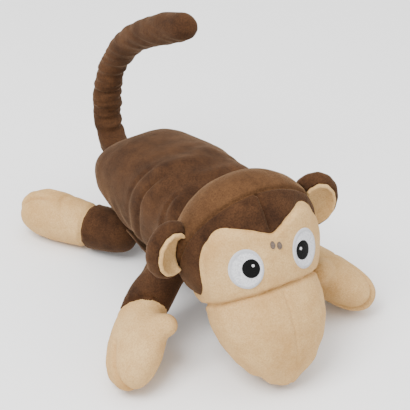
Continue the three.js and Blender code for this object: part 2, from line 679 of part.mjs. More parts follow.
// The phase that puts a gap of the pinion at (x, z) over a tooth of the wheel that it drives, or the other way round.
function pinionPhase(wheelTeeth, wheelPlace, pinionPlace) {
  const angle = Math.atan2(pinionPlace.z - wheelPlace.z, pinionPlace.x - wheelPlace.x);
  const past = (angle * wheelTeeth) / (2 * Math.PI);
  const pinionStep = (2 * Math.PI) / GEAR.pinion;
  return angle + Math.PI + (past - Math.round(past) + 0.5) * pinionStep;
}

const stages = [1, 2, 3, 4].map((i) => {
  const driven = i === 1 ? gearPlaces[0] : gearPlaces[i - 1];
  const teeth = i === 1 ? GEAR.output : GEAR.wheel;
  return { ...gearPlaces[i], phase: pinionPhase(teeth, driven, gearPlaces[i]), y: STAGE_Y[i - 1] };
});

function compoundGear({ x, z, phase, y }, wheelY) {
  return gearBlank(GEAR.pinion, phase, x, z, y - 0.4, wheelY + 0.5)
    .add(gearBlank(GEAR.wheel, 0, x, z, wheelY, wheelY + GEAR.face))
    .add(yBar(x, z, CASE.front + 0.9, PLATE_Y + 1.6, SHAFT_R, 10));
}

const outputGear = gearBlank(GEAR.output, 0, 0, YOKE_Z, STAGE_Y[0], STAGE_Y[0] + GEAR.face)
  .subtract(yBar(0, YOKE_Z, -40, 0, 2.6, 12));

// ---- Yoke ------------------------------------------------------------------------------------

function yokeSolid() {
  const discY = SPLIT_Y - 9;
  let yoke = yBar(0, YOKE_Z, discY, SPLIT_Y - 5, 17, 18)
    .add(yBar(0, YOKE_Z, discY, STAGE_Y[0] - 0.5, YOKE_SHAFT_R, 16))
    .add(yBar(0, YOKE_Z, discY, STAGE_Y[0] + GEAR.face + 1, 2.3, 12))
    .add(rod(V(0, discY + 1, YOKE_Z + 3), V(0, -62, 86), 6, 5, 8))
    .add(rod(V(0, -60, 85.7), V(0, -63, 86.3), 12, 12, 12));
  for (const pose of Object.values(ARM_POSE)) {
    const { shoulder, wrist, lower } = armPlaces(pose);
    const start = V(11 * pose.side, discY + 2.5, YOKE_Z - 8);
    const hand = wrist.clone().addScaledVector(lower.along, 16);
    yoke = yoke
      .add(rod(start, shoulder, 3.4, 3, 6))
      .add(placed(new THREE.SphereGeometry(3.4, 6, 4), shift(shoulder.x, shoulder.y, shoulder.z)))
      .add(rod(shoulder, wrist, 3, 2.6, 6))
      .add(placed(new THREE.SphereGeometry(3, 6, 4), shift(wrist.x, wrist.y, wrist.z)))
      .add(rod(wrist, hand, 2.6, 2.4, 6));
  }
  return yoke;
}
const yoke = yokeSolid();

// A copy of a thin frame grown by a clearance, made of the same bars.
function yokeClearance() {
  const gap = TOUCH + 0.4;
  let room = rod(V(0, SPLIT_Y - 8, YOKE_Z + 2.8), V(0, -62, 86), 6.4 + gap, 5.4 + gap, 8)
    .add(rod(V(0, -59.4, 85.6), V(0, -63.7, 86.4), 12.2 + gap, 12.2 + gap, 12));
  for (const pose of Object.values(ARM_POSE)) {
    const { shoulder, wrist, lower } = armPlaces(pose);
    const start = V(11 * pose.side, SPLIT_Y - 6.5, YOKE_Z - 8);
    const hand = wrist.clone().addScaledVector(lower.along, 16 + gap);
    room = room
      .add(rod(start, shoulder, 4 + gap, 3.6 + gap, 6))
      .add(placed(new THREE.SphereGeometry(4.4 + gap, 6, 4), shift(shoulder.x, shoulder.y, shoulder.z)))
      .add(rod(shoulder, wrist, 3.6 + gap, 3.2 + gap, 6))
      .add(placed(new THREE.SphereGeometry(4 + gap, 6, 4), shift(wrist.x, wrist.y, wrist.z)))
      .add(rod(wrist, hand, 3.2 + gap, 3 + gap, 6));
  }
  return room;
}
const yokeRoom = yokeClearance();

// Shoulder skin: open at the back, at the neck and at both arms.
const shoulderGrown = trunk([{ ...SHOULDER[0], y: SHOULDER[0].y + 0.4 }, ...SHOULDER.slice(1)], -TOUCH);
const armHoles = Object.values(ARM_POSE)
  .map((pose) => sleeveSolid(pose, SKIN + 1))
  .reduce((all, one) => all.add(one));
const shoulderSkin = trunk(SHOULDER, 0)
  .subtract(trunkInside(SHOULDER, 3, 1.5))
  .subtract(headBall(TOUCH))
  .subtract(armHoles);

// ---- Scene graph -----------------------------------------------------------------------------

const plush = (colour) => new THREE.MeshStandardMaterial({ color: colour, roughness: 0.95, metalness: 0 });
const plastic = (colour) => new THREE.MeshStandardMaterial({ color: colour, roughness: 0.45, metalness: 0 });
const metal = (colour) => new THREE.MeshStandardMaterial({ color: colour, roughness: 0.3, metalness: 0.9 });
const BROWN = plush(0x4a2d1c);
const TAN = plush(0xd9b98a);
const WHITE_THREAD = plush(0xe6e4e0);
const BLACK_THREAD = plush(0x17130f);
const FIBRE = plush(0xf4f2ec);
const TAPE_WHITE = plush(0xe2e2e2);
const LABEL = plush(0xf0efed);
const CASE_BLACK = plastic(0x2b2b2e);
const GEAR_WHITE = plastic(0xe9e6dc);
const BOARD = plastic(0x2e6b3c);
const CELL_SLEEVE = plastic(0x3a3f46);
const STEEL = metal(0xb9bcc0);

const monkey = new THREE.Group();
const frontHalf = new THREE.Group();
const torso = new THREE.Group();
const tail = new THREE.Group();
const legs = new THREE.Group();
const gears = new THREE.Group();
const hatch = new THREE.Group();
monkey.add(frontHalf, torso, tail, legs, gears, hatch);

function piece(group, name, made, material) {
  const mesh = new THREE.Mesh(geometryOf(made), material);
  mesh.name = name;
  group.add(mesh);
}

const aboveFloor = halfSpace(V(0, 0, 0), V(0, 0, 1));
const largest = (made) => made.decompose().reduce((a, b) => (b.volume() > a.volume() ? b : a));

piece(frontHalf, "shoulder_skin", largest(shoulderSkin), BROWN);
piece(frontHalf, "head_back_skin", headBack, BROWN);
piece(frontHalf, "head_brow_skin", largest(headFront), BROWN);
piece(frontHalf, "face_mask", largest(maskSkin), TAN);
piece(frontHalf, "muzzle_skin", largest(muzzleSkin), TAN);
const headFill = headBall(-SKIN - TOUCH, 16, 10)
  .add(muzzleSolid(SKIN + TOUCH + 0.1, 14).intersect(belowMouth))
  .subtract(yokeRoom);
piece(frontHalf, "head_stuffing", largest(headFill), FIBRE);
for (const side of [1, -1]) {
  const word = side > 0 ? "left" : "right";
  const { cup, lining } = ear(side);
  piece(frontHalf, `ear_${word}`, largest(cup), BROWN);
  piece(frontHalf, `ear_lining_${word}`, largest(lining), TAN);
  const white = stitchedDisc(EYE.x * side, EYE.z, EYE.rx, EYE.rz, faceTop, faceTop + EYE.thick);
  piece(frontHalf, `eye_white_${word}`, white, WHITE_THREAD);
  const top = faceTop + EYE.thick + 0.2;
  const pupil = stitchedDisc((EYE.x - PUPIL.shift) * side, EYE.z + 0.8, PUPIL.r, PUPIL.r, top, top + PUPIL.thick);
  piece(frontHalf, `eye_pupil_${word}`, pupil, BLACK_THREAD);
}

for (const [word, pose] of Object.entries(ARM_POSE)) {
  const { wrist, lower } = armPlaces(pose);
  const pastWrist = halfSpace(wrist, lower.along);
  const beforeWrist = halfSpace(wrist.clone().addScaledVector(lower.along, -TOUCH), lower.along.clone().negate());
  const sleeve = sleeveSolid(pose, 0)
    .subtract(sleeveSolid(pose, SKIN, 10))
    .intersect(beforeWrist)
    .subtract(shoulderGrown)
    .subtract(headBall(TOUCH))
    .subtract(muzzleSolid(-TOUCH));
  piece(frontHalf, `arm_sleeve_${word}`, largest(sleeve), BROWN);
  const hand = handSolid(pose, 0)
    .subtract(handSolid(pose, SKIN, 10))
    .intersect(pastWrist)
    .subtract(headBall(TOUCH))
    .subtract(muzzleSolid(-TOUCH))
    .intersect(aboveFloor);
  piece(frontHalf, `hand_${word}`, largest(hand), TAN);
  const fill = sleeveSolid(pose, SKIN + TOUCH + 0.8, 8)
    .intersect(beforeWrist)
    .add(handSolid(pose, SKIN + TOUCH + 0.8, 8).intersect(halfSpace(wrist.clone().addScaledVector(lower.along, -1), lower.along)))
    .subtract(shoulderGrown)
    .subtract(headBall(TOUCH))
    .subtract(muzzleSolid(-TOUCH - SKIN))
    .subtract(yokeRoom);
  piece(frontHalf, `arm_stuffing_${word}`, largest(fill), FIBRE);
}
piece(frontHalf, "shoulder_yoke", yoke, CASE_BLACK);
piece(frontHalf, "output_gear", outputGear, GEAR_WHITE);

piece(torso, "torso_skin", largest(torsoSkin), BROWN);
const rump = trunk(
  [...TORSO.slice(4, -2), { ...TORSO[7], y: TORSO[7].y - 2.2 }],
  SKIN + TOUCH + 0.1,
  20,
).intersect(halfSpace(V(0, CASE.rear + 0.8, 0), V(0, 1, 0)));
piece(torso, "rump_stuffing", largest(rump), FIBRE);
piece(torso, "case_upper", largest(caseUpper), CASE_BLACK);
piece(torso, "case_lower", largest(caseLower), CASE_BLACK);
CASE_SCREWS.forEach(([x, y], i) => {
  piece(torso, `case_screw_${i + 1}`, screw(x, y, CASE.floor + 0.1, CASE.split - CASE.floor + 4), STEEL);
});
const plate = caseLoft(CASE.inset + CASE.wall + TOUCH, CASE.front + 4, CASE.rear - 4)
  .intersect(box(-60, PLATE_Y, CASE.split + 1.2, 60, PLATE_Y + 1.8, 130))
  .subtract(arborHoles)
  .subtract(yBar(motorPlace.x, motorPlace.z, 0, 40, 5.2, 16));
piece(torso, "gear_plate", plate, CASE_BLACK);
const can = yBar(motorPlace.x, motorPlace.z, MOTOR.front, MOTOR.front + MOTOR.length, MOTOR.r, 20)
  .intersect(box(-60, 0, motorPlace.z - MOTOR.flat, 60, 60, motorPlace.z + MOTOR.flat))
  .add(yBar(motorPlace.x, motorPlace.z, MOTOR.front - 1.4, MOTOR.front + 1, 3, 12))
  .add(yBar(motorPlace.x, motorPlace.z, MOTOR.front + MOTOR.length - 1, MOTOR.front + MOTOR.length + 2, 4, 12))
  .subtract(yBar(motorPlace.x, motorPlace.z, 0, MOTOR.front + 10, 1.4, 12));
piece(torso, "motor", can, STEEL);
const boardZ = CASE.split + 2;
const board = box(-21, 32, boardZ, 21, 56, boardZ + 1.6)
  .add(box(-14, 38, boardZ + 1, -4, 48, boardZ + 3.4))
  .add(rod(V(12, 44, boardZ + 1), V(12, 44, boardZ + 7), 4.8, 4.8, 16));
piece(torso, "circuit_board", board, BOARD);
const speaker = yBar(0, SPEAKER.z, CASE.rear - CASE.wall - 3.2, CASE.rear - CASE.wall - 0.4, SPEAKER.r, 20)
  .add(yBar(0, SPEAKER.z, CASE.rear - CASE.wall - 8, CASE.rear - CASE.wall - 3.2, 8, 16));
piece(torso, "speaker", speaker, STEEL);
piece(torso, "switch_body", box(SWITCH.x - 4, SWITCH.y - 2.6, CASE.floor + CASE.wall + 0.6, SWITCH.x + 8, SWITCH.y + 2.6, 50), STEEL);
const knob = box(SWITCH.x - 1.4, SWITCH.y - 1, CASE.floor - 2.4, SWITCH.x + 1.4, SWITCH.y + 1, CASE.floor + CASE.wall + 0.3);
piece(hatch, "switch_knob", knob, GEAR_WHITE);
for (let i = 0; i < CELL.count; i++) {
  const y = BAY.front + CELL.gap + CELL.r + i * (2 * CELL.r + CELL.gap);
  const flip = i % 2 ? -1 : 1;
  const cell = rod(V(-flip * CELL.length / 2, y, cellZ), V(flip * (CELL.length / 2 - 1), y, cellZ), CELL.r, CELL.r, 16)
    .add(rod(V(flip * (CELL.length / 2 - 1.2), y, cellZ), V(flip * CELL.length / 2, y, cellZ), 1.9, 1.9, 8));
  piece(torso, `battery_${i + 1}`, cell, CELL_SLEEVE);
}
for (const side of [1, -1]) {
  const x0 = side * (bayHalf - 0.2);
  const x1 = side * (bayHalf - 0.7);
  const contact = box(
    Math.min(x0, x1), BAY.front + 1, cellZ - 4,
    Math.max(x0, x1), BAY.front + bayLength - 1, cellZ + 4,
  );
  piece(torso, `contact_${side > 0 ? "left" : "right"}`, contact, STEEL);
}
const doorPlate = box(
  -bayHalf - 1.2 + DOOR_LIP, BAY.front - 1.2 + DOOR_LIP, CASE.floor,
  bayHalf + 1.2 - DOOR_LIP, BAY.front + bayLength + 1.2 - DOOR_LIP, CASE.floor + CASE.wall - 0.3,
);
const door = doorPlate
  .add(doorTabShape(0, CASE.floor, CASE.floor + CASE.wall - 0.3))
  .subtract(yPost(doorTab.y, SCREW.shank + TOUCH, 0, 80))
  .subtract(yPost(doorTab.y, SCREW.head + TOUCH, 0, CASE.floor + 0.6));
piece(hatch, "battery_door", door, CASE_BLACK);
piece(hatch, "door_screw", screw(0, doorTab.y, CASE.floor + 0.6 - SCREW.headTall - TOUCH, 9), STEEL);

for (let i = 0; i < 3; i++) {
  piece(gears, `reduction_gear_${i + 1}`, compoundGear(stages[i], STAGE_Y[i + 1]), GEAR_WHITE);
}
const motorPinion = gearBlank(
  GEAR.pinion, stages[3].phase, motorPlace.x, motorPlace.z, STAGE_Y[3] - 0.4, STAGE_Y[3] + GEAR.face + 0.4,
).add(yBar(motorPlace.x, motorPlace.z, STAGE_Y[3], MOTOR.front + 8, 1, 10));
piece(gears, "motor_pinion", motorPinion, STEEL);

// Belly flap: a curved panel, sewn on along its right edge, that gapes a little along its left edge.
function flapStrip(t0, t1, steps, rise, thick, y0, y1) {
  const top = [];
  const under = [];
  for (let i = 0; i <= steps; i++) {
    const t = THREE.MathUtils.lerp(t0, t1, i / steps);
    const sag = (FLAP.edge - FLAP.sag) * Math.sin(Math.PI * (0.08 + 0.84 * t));
    const x = THREE.MathUtils.lerp(-FLAP.half, FLAP.half - 3, t);
    const z = FLAP.edge - sag - FLAP.gape * t + rise;
    top.push(new THREE.Vector2(x, z));
    under.unshift(new THREE.Vector2(x, z - thick));
  }
  const outline = new THREE.Shape([...top, ...under]);
  const strip = new THREE.ExtrudeGeometry(outline, { depth: y1 - y0, bevelEnabled: false });
  return placed(strip, new THREE.Matrix4().makeRotationX(Math.PI / 2).setPosition(0, y1, 0));
}
piece(hatch, "belly_flap", flapStrip(0, 1, 10, 0, FLAP.thick, FLAP.front, FLAP.rear), BROWN);
const tapeEnds = [FLAP.front + 3, FLAP.rear - 3];
const hookTape = flapStrip(0.9, 0.99, 2, TOUCH + TAPE.thick, TAPE.thick, ...tapeEnds);
piece(hatch, "hook_tape", hookTape, TAPE_WHITE);
const loopTape = trunk(TORSO, -TOUCH - TAPE.thick)
  .subtract(trunk(TORSO, -TOUCH))
  .intersect(box(OPENING.half + 0.6, tapeEnds[0], 20, OPENING.half + 0.6 + TAPE.wide, tapeEnds[1], 60));
piece(torso, "loop_tape", largest(loopTape), TAPE_WHITE);
const label = loft(
  [[82, 38], [91, 34.5], [102, 32], [112, 30]].map(([y, z], i) =>
    [V(-8, y, z), V(8, y, z + 0.6), V(8, y + 0.2, z + 1.2), V(-8, y + 0.2, z + 0.6)].map((p) => p.add(V(6 + i, 0, 0))),
  ),
);
piece(torso, "care_label", label, LABEL);

for (const side of [1, -1]) {
  const word = side > 0 ? "left" : "right";
  const { along } = legFrame(side);
  const ankle = V(HIP.x * side, HIP.y, FOOT_Z).addScaledVector(along, LEG.length);
  const pastAnkle = halfSpace(ankle, along);
  const beforeAnkle = halfSpace(ankle.clone().addScaledVector(along, -TOUCH), along.clone().negate());
  const swept = torsoSwept(side);
  piece(legs, `leg_sleeve_${word}`, largest(legSolid(side, 0).subtract(legSolid(side, SKIN, 10)).intersect(beforeAnkle).subtract(swept)), BROWN);
  const foot = footSolid(side, 0)
    .subtract(footSolid(side, SKIN, 10))
    .intersect(pastAnkle)
    .subtract(swept)
    .intersect(aboveFloor);
  piece(legs, `foot_${word}`, largest(foot), TAN);
  const fill = legSolid(side, SKIN + TOUCH + 0.8, 8)
    .intersect(beforeAnkle)
    .add(footSolid(side, SKIN + TOUCH + 0.8, 8).intersect(halfSpace(ankle.clone().addScaledVector(along, -1), along)))
    .subtract(swept);
  piece(legs, `leg_stuffing_${word}`, largest(fill), FIBRE);
}

piece(tail, "tail_skin", largest(tailSkin), BROWN);
piece(tail, "tail_stuffing", largest(tailStuffing), FIBRE);
piece(tail, "tail_wire", tailWire, STEEL);

// Puts the origin at the middle of the bottom of the whole box.
const bounds = new THREE.Box3().setFromObject(monkey);
const middle = bounds.getCenter(V(0, 0, 0));
monkey.position.set(-middle.x, -middle.y, -bounds.min.z);

export default monkey;
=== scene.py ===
# %% Load the fixed frame
import json
import math

import bmesh
import bpy
import numpy as np
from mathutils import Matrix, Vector, noise
from mathutils.bvhtree import BVHTree
from mathutils.kdtree import KDTree


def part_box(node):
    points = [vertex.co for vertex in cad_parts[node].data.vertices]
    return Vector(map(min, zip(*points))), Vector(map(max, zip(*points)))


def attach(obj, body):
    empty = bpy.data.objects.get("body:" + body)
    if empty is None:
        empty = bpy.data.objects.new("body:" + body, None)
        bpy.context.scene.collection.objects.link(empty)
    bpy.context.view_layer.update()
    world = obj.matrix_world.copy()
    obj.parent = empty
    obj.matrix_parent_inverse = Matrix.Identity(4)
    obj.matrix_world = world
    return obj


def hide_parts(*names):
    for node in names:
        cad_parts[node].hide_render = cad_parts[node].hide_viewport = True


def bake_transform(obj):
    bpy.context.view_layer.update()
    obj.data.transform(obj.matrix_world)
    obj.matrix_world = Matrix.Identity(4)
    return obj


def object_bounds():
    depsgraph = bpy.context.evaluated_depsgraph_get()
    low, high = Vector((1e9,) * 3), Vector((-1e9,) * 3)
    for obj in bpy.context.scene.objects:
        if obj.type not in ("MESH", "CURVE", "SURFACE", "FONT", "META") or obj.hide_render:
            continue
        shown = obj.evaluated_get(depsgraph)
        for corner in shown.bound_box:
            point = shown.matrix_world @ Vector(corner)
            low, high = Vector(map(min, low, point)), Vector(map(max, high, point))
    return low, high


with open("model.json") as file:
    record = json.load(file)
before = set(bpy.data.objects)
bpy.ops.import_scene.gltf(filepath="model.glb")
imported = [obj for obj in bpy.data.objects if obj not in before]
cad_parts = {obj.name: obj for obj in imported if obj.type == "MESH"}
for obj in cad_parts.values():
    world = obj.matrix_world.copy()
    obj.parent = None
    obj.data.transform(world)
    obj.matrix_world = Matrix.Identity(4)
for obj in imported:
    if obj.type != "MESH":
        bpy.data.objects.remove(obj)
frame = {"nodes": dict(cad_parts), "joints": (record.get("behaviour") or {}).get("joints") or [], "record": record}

CAD_BOX = [list(corner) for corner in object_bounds()]
NODES = frame["nodes"]
JOINTS = {joint["name"]: joint for joint in frame["joints"]}

# %% [markdown]
# # A plush monkey that rolls from side to side
#
# The monkey lies on its belly. It is cut from short-pile plush in two colours and stuffed, with a battery
# mechanism in its torso. The head and arms turn against the hind body, so every cover here is made for the
# body that it moves with, and the cover of the trunk is one cloth that twists between the two.
#
# All places are measured from the roll axis, which the frame gives: x is 0 on the monkey's middle plane,
# y is 0 at the cloth's twist, and z is the height over the floor.

# %% Places on the monkey
MM = 0.001
SIDES = {"left": 1, "right": -1}  # the monkey's left is +x
ROLL = Vector(JOINTS["shoulder_roll"]["pos_m"])


def at(x, y, z):
    return Vector((ROLL.x + x * MM, ROLL.y + y * MM, z * MM))


# %% [markdown]
# ## Tools for soft pieces
#
# A stuffed cover starts from the simple solids that the frame holds for its cloth and its filling. A voxel
# remesh joins them into one even skin. A short cloth simulation with air pressure then rounds it as filling
# does, and seams, puckers and folds are pressed in afterwards, because the remesh would rub them out.


# %% One object at a time
def only(obj):
    for other in list(bpy.context.selected_objects):
        other.select_set(False)
    obj.select_set(True)
    bpy.context.view_layer.objects.active = obj
    return obj


def as_object(name, bm):
    mesh = bpy.data.meshes.new(name)
    bm.to_mesh(mesh)
    bm.free()
    obj = bpy.data.objects.new(name, mesh)
    bpy.context.scene.collection.objects.link(obj)
    return obj


def apply(obj, kind, **settings):
    modifier = only(obj).modifiers.new(kind.lower(), kind)
    for key, value in settings.items():
        setattr(modifier, key, value)
    bpy.ops.object.modifier_apply(modifier=modifier.name)


def copy_of(name, nodes, hull=False):
    """One new object of copies of CAD nodes, with their loose triangles merged, or of their hull."""
    bm = bmesh.new()
    for node in nodes:
        bm.from_mesh(NODES[node].data)
    bmesh.ops.remove_doubles(bm, verts=bm.verts, dist=1e-6)
    if hull:
        made = bmesh.ops.convex_hull(bm, input=bm.verts)
        inner = [e for e in made["geom_interior"] if isinstance(e, bmesh.types.BMVert)]
        bmesh.ops.delete(bm, geom=inner, context="VERTS")
        bmesh.ops.delete(bm, geom=[f for f in bm.faces if f not in set(made["geom"])], context="FACES")
    return as_object(name, bm)


def joined(first, *others):
    only(first)
    for other in others:
        other.select_set(True)
    bpy.ops.object.join()
    return first


def keep_outer(obj):
    """Deletes the islands inside the largest one, which are hollows that the remesh closed."""
    bm = bmesh.new()
    bm.from_mesh(obj.data)
    left, islands = set(bm.verts), []
    while left:
        stack, island = [left.pop()], []
        while stack:
            vert = stack.pop()
            island.append(vert)
            for edge in vert.link_edges:
                other = edge.other_vert(vert)
                if other in left:
                    left.remove(other)
                    stack.append(other)
        islands.append(island)
    islands.sort(key=len)
    for island in islands[:-1]:
        bmesh.ops.delete(bm, geom=island, context="VERTS")
    bm.to_mesh(obj.data)
    bm.free()


# %% Read and write a mesh's points as arrays
def points_of(obj):
    co = np.zeros(len(obj.data.vertices) * 3)
    obj.data.vertices.foreach_get("co", co)
    return co.reshape(-1, 3)


def normals_of(obj):
    flat = np.zeros(len(obj.data.vertices) * 3)
    obj.data.vertices.foreach_get("normal", flat)
    return flat.reshape(-1, 3)


def set_points(obj, co):
    obj.data.vertices.foreach_set("co", np.asarray(co).ravel())
    obj.data.update()


def press(obj, depth):
    """Moves each point along its normal by depth(points), in metres."""
    co = points_of(obj)
    set_points(obj, co + normals_of(obj) * np.asarray(depth(co))[:, None])


# %% Remesh, relax and fill
def skin_of(obj, voxel, relax=4):
    apply(obj, "REMESH", mode="VOXEL", voxel_size=voxel * MM, use_smooth_shade=True)
    keep_outer(obj)
    if relax:
        apply(obj, "SMOOTH", factor=0.5, iterations=relax)


def puff(obj, cap, pressure=4.0, frames=20):
    """Fills a closed skin with air by cloth simulation. No point moves further than cap, in millimetres."""
    scene = bpy.context.scene
    before = points_of(obj)
    cloth = only(obj).modifiers.new("cloth", "CLOTH")
    cloth.settings.quality = 4
    cloth.settings.mass = 0.2
    cloth.settings.tension_stiffness = 12
    cloth.settings.compression_stiffness = 12
    cloth.settings.bending_stiffness = 0.4
    cloth.settings.use_pressure = True
    cloth.settings.uniform_pressure_force = pressure
    cloth.settings.effector_weights.gravity = 0
    cloth.collision_settings.use_collision = False
    for number in range(1, frames + 1):
        scene.frame_set(number)
    bpy.ops.object.modifier_apply(modifier="cloth")
    scene.frame_set(1)
    move = points_of(obj) - before
    move -= move.mean(axis=0)
    length = np.linalg.norm(move, axis=1, keepdims=True)
    move *= np.minimum(1, cap * MM / np.maximum(length, 1e-9))
    set_points(obj, before + move)
    print("puff", obj.name, "moved up to", round(min(cap, float(length.max() / MM)), 2), "mm")


def finer(obj):
    apply(obj, "SUBSURF", levels=1, render_levels=1)


# %% Shapes of seams and folds
def groove(distance, width):
    """1 on a seam, falling to 0 over a width in millimetres."""
    return np.exp(-((distance / (width * MM)) ** 2))


def plane_distance(co, point, normal):
    return (co - np.array(point)) @ np.array(Vector(normal).normalized())


def lumps(co, scale, seed=0.0):
    """Smooth noise from -1 to 1. scale is waves a metre along x, y and z."""
    places = co * np.array(scale) + seed
    return np.array([noise.noise(Vector(p)) for p in places])


def ramp(value, start, end):
    """0 at start to 1 at end, smoothly."""
    t = np.clip((value - start) / (end - start), 0, 1)
    return t * t * (3 - 2 * t)


# %% [markdown]
# A panel is cut out of a finished skin along a seam line. The edges that cross the line are split exactly
# on it, so the join is clean however coarse the mesh is. Both panels then get the thickness of the cloth.


# %% Cut a skin along a line
def cut_off(obj, field, name):
    """Splits obj where field(point) is 0. The part where it is positive becomes a new object."""
    bm = bmesh.new()
    bm.from_mesh(obj.data)
    co = points_of(obj)
    values = np.asarray(field(co), float)
    values[np.abs(values) < 1e-6] = 0
    value = {vert: values[i] for i, vert in enumerate(bm.verts)}
    for edge in [e for e in bm.edges if value[e.verts[0]] * value[e.verts[1]] < 0]:
        a, b = edge.verts
        share = value[a] / (value[a] - value[b])
        vert = bmesh.utils.edge_split(edge, a, share)[1]
        value[vert] = 0.0
    for face in list(bm.faces):
        on_line = [v for v in face.verts if value[v] == 0]
        if len(on_line) == 2 and not any(set(e.verts) == set(on_line) for e in face.edges):
            bmesh.utils.face_split(face, *on_line)
    inside = [sum(value[v] for v in f.verts) > 0 for f in bm.faces]
    other = bm.copy()
    bmesh.ops.delete(bm, geom=[f for f, keep in zip(bm.faces, inside) if keep], context="FACES")
    bmesh.ops.delete(other, geom=[f for f, keep in zip(other.faces, inside) if not keep], context="FACES")
    bm.to_mesh(obj.data)
    bm.free()
    return as_object(name, other)


def smooth(obj, degrees):
    only(obj)
    bpy.ops.object.shade_smooth_by_angle(angle=math.radians(degrees))


def thicken(obj, thick):
    apply(obj, "SOLIDIFY", thickness=thick * MM, offset=-1, use_even_offset=False)
    smooth(obj, 50)


def seam_plane(node_a, node_b, near=0.6):
    """The plane where two CAD skins meet: its centre, and its normal towards node_b."""
    tree = KDTree(len(NODES[node_b].data.vertices))
    for i, vert in enumerate(NODES[node_b].data.vertices):
        tree.insert(vert.co, i)
    tree.balance()
    close = [v.co for v in NODES[node_a].data.vertices if tree.find(v.co)[2] < near * MM]
    co = np.array(close)
    centre = co.mean(axis=0)
    normal = np.linalg.svd(co - centre)[2][2]
    middle = np.array([v.co for v in NODES[node_b].data.vertices]).mean(axis=0)
    if (middle - centre) @ normal < 0:
        normal = -normal
    return Vector(centre), Vector(normal)


# %% [markdown]
# ## Finishes
#
# Each finish is worked out from the place of a point on its piece. Sums of patterns are written as plain
# arithmetic: a small class wraps a node's socket, and adding or multiplying two of them adds a Math node.


# %% Arithmetic on sockets
class Value:
    def __init__(self, tree, socket):
        self.tree = tree
        self.socket = socket

    def math(self, operation, *others, clamp=False):
        node = self.tree.nodes.new("ShaderNodeMath")
        node.operation = operation
        node.use_clamp = clamp
        for place, item in zip(node.inputs, (self, *others)):
            if isinstance(item, Value):
                self.tree.links.new(item.socket, place)
            else:
                place.default_value = item
        return Value(self.tree, node.outputs[0])

    def __add__(self, other):
        return self.math("ADD", other)

    def __mul__(self, other):
        return self.math("MULTIPLY", other)

    def __sub__(self, other):
        return self.math("SUBTRACT", other)

    def __rsub__(self, other):
        return (self * -1) + other

    def __truediv__(self, other):
        return self.math("DIVIDE", other)

    __radd__ = __add__
    __rmul__ = __mul__

    def clamp(self):
        return self.math("ADD", 0.0, clamp=True)

    def step(self, start, end):
        """0 below start and 1 above end."""
        return ((self - start) / (end - start)).clamp()


# %% A finish is a material with one method for any node
class Finish:
    def __init__(self, name, **constants):
        self.material = bpy.data.materials.new(name)
        self.material.use_nodes = True
        self.tree = self.material.node_tree
        self.surface = self.tree.nodes["Principled BSDF"]
        for key, value in constants.items():
            self.surface.inputs[key.replace("_", " ")].default_value = value

    def node(self, kind, settings=None, output=0, **inputs):
        made = self.tree.nodes.new("ShaderNode" + kind)
        for key, value in (settings or {}).items():
            setattr(made, key, value)
        for key, value in inputs.items():
            place = made.inputs[int(key[1:])] if key[1:].isdigit() else made.inputs[key.replace("_", " ")]
            if isinstance(value, Value):
                self.tree.links.new(value.socket, place)
            else:
                place.default_value = value
        return Value(self.tree, made.outputs[output])

    def place(self):
        return self.node("TexCoord", output="Object")

    def uv(self):
        return self.node("TexCoord", output="UV")

    def grain(self, scale, detail=2.0, rough=0.55, stretch=(1, 1, 1), where=None):
        """Noise from 0 to 1, at a scale in grains a metre."""
        spread = self.node("Mapping", Vector=where or self.place(), Scale=stretch)
        return self.node("TexNoise", Vector=spread, Scale=scale, Detail=detail, Roughness=rough)

    def cells(self, scale, **settings):
        return self.node("TexVoronoi", settings, Vector=self.place(), Scale=scale)

    def axis(self, letter, where=None):
        return self.node("SeparateXYZ", output=letter, Vector=where or self.place())

    def blend(self, amount, first, second):
        """A colour between two: each is a colour or a socket."""
        def colour(c):
            return c if isinstance(c, Value) else (*c, 1.0)
        return self.node(
            "Mix", {"data_type": "RGBA"}, output=2, i0=amount, i6=colour(first), i7=colour(second),
        )

    def feed(self, **sockets):
        for key, value in sockets.items():
            self.tree.links.new(value.socket, self.surface.inputs[key.replace("_", " ")])

    def bump(self, height, distance, strength=1.0):
        self.feed(Normal=self.node("Bump", Height=height, Distance=distance * MM, Strength=strength))

    def on(self, *objects):
        for obj in objects:
            obj.data.materials.clear()
            obj.data.materials.append(self.material)


# %% [markdown]
# ### Plush
#
# Short-pile plush is never one flat colour. The pile lies one way in one place and another way in the next,
# so it shows light and dark patches; close up it is a coat of fine tufts. Fibre ends catch light at grazing
# angles, which the shader's sheen does.


# %% Plush in two colours
def plush(name, pile_shade, middle, light, sheen, tint, tuft=900):
    made = Finish(name, Roughness=0.9, Sheen_Weight=sheen, Sheen_Roughness=0.35, Sheen_Tint=(*tint, 1))
    made.surface.inputs["Specular IOR Level"].default_value = 0.15
    patches = made.grain(38, detail=3, rough=0.6)
    streaks = made.grain(150, detail=3, rough=0.65, stretch=(1, 0.5, 1))
    tufts = made.grain(tuft, detail=3, rough=0.7)
    fibres = made.grain(tuft * 3, detail=2, rough=0.8)
    lie = (patches * 0.62 + streaks * 0.3 + tufts * 0.2).step(0.4, 0.76)
    # Where the tufts are low, the colour is darkened towards the plush's darkest colour. This is painted shade in
    # the hollows between the tufts, and it follows the bump.
    out_of_pile_shade = (tufts * 0.5 + fibres * 0.5).step(0.22, 0.56)
    colour = made.blend(lie, middle, light)
    made.feed(Base_Color=made.blend(out_of_pile_shade, pile_shade, colour))
    made.feed(Roughness=lie * -0.12 + 0.95)
    made.bump(tufts * 0.5 + fibres * 0.3 + streaks * 0.5, 0.8, 0.45)
    return made
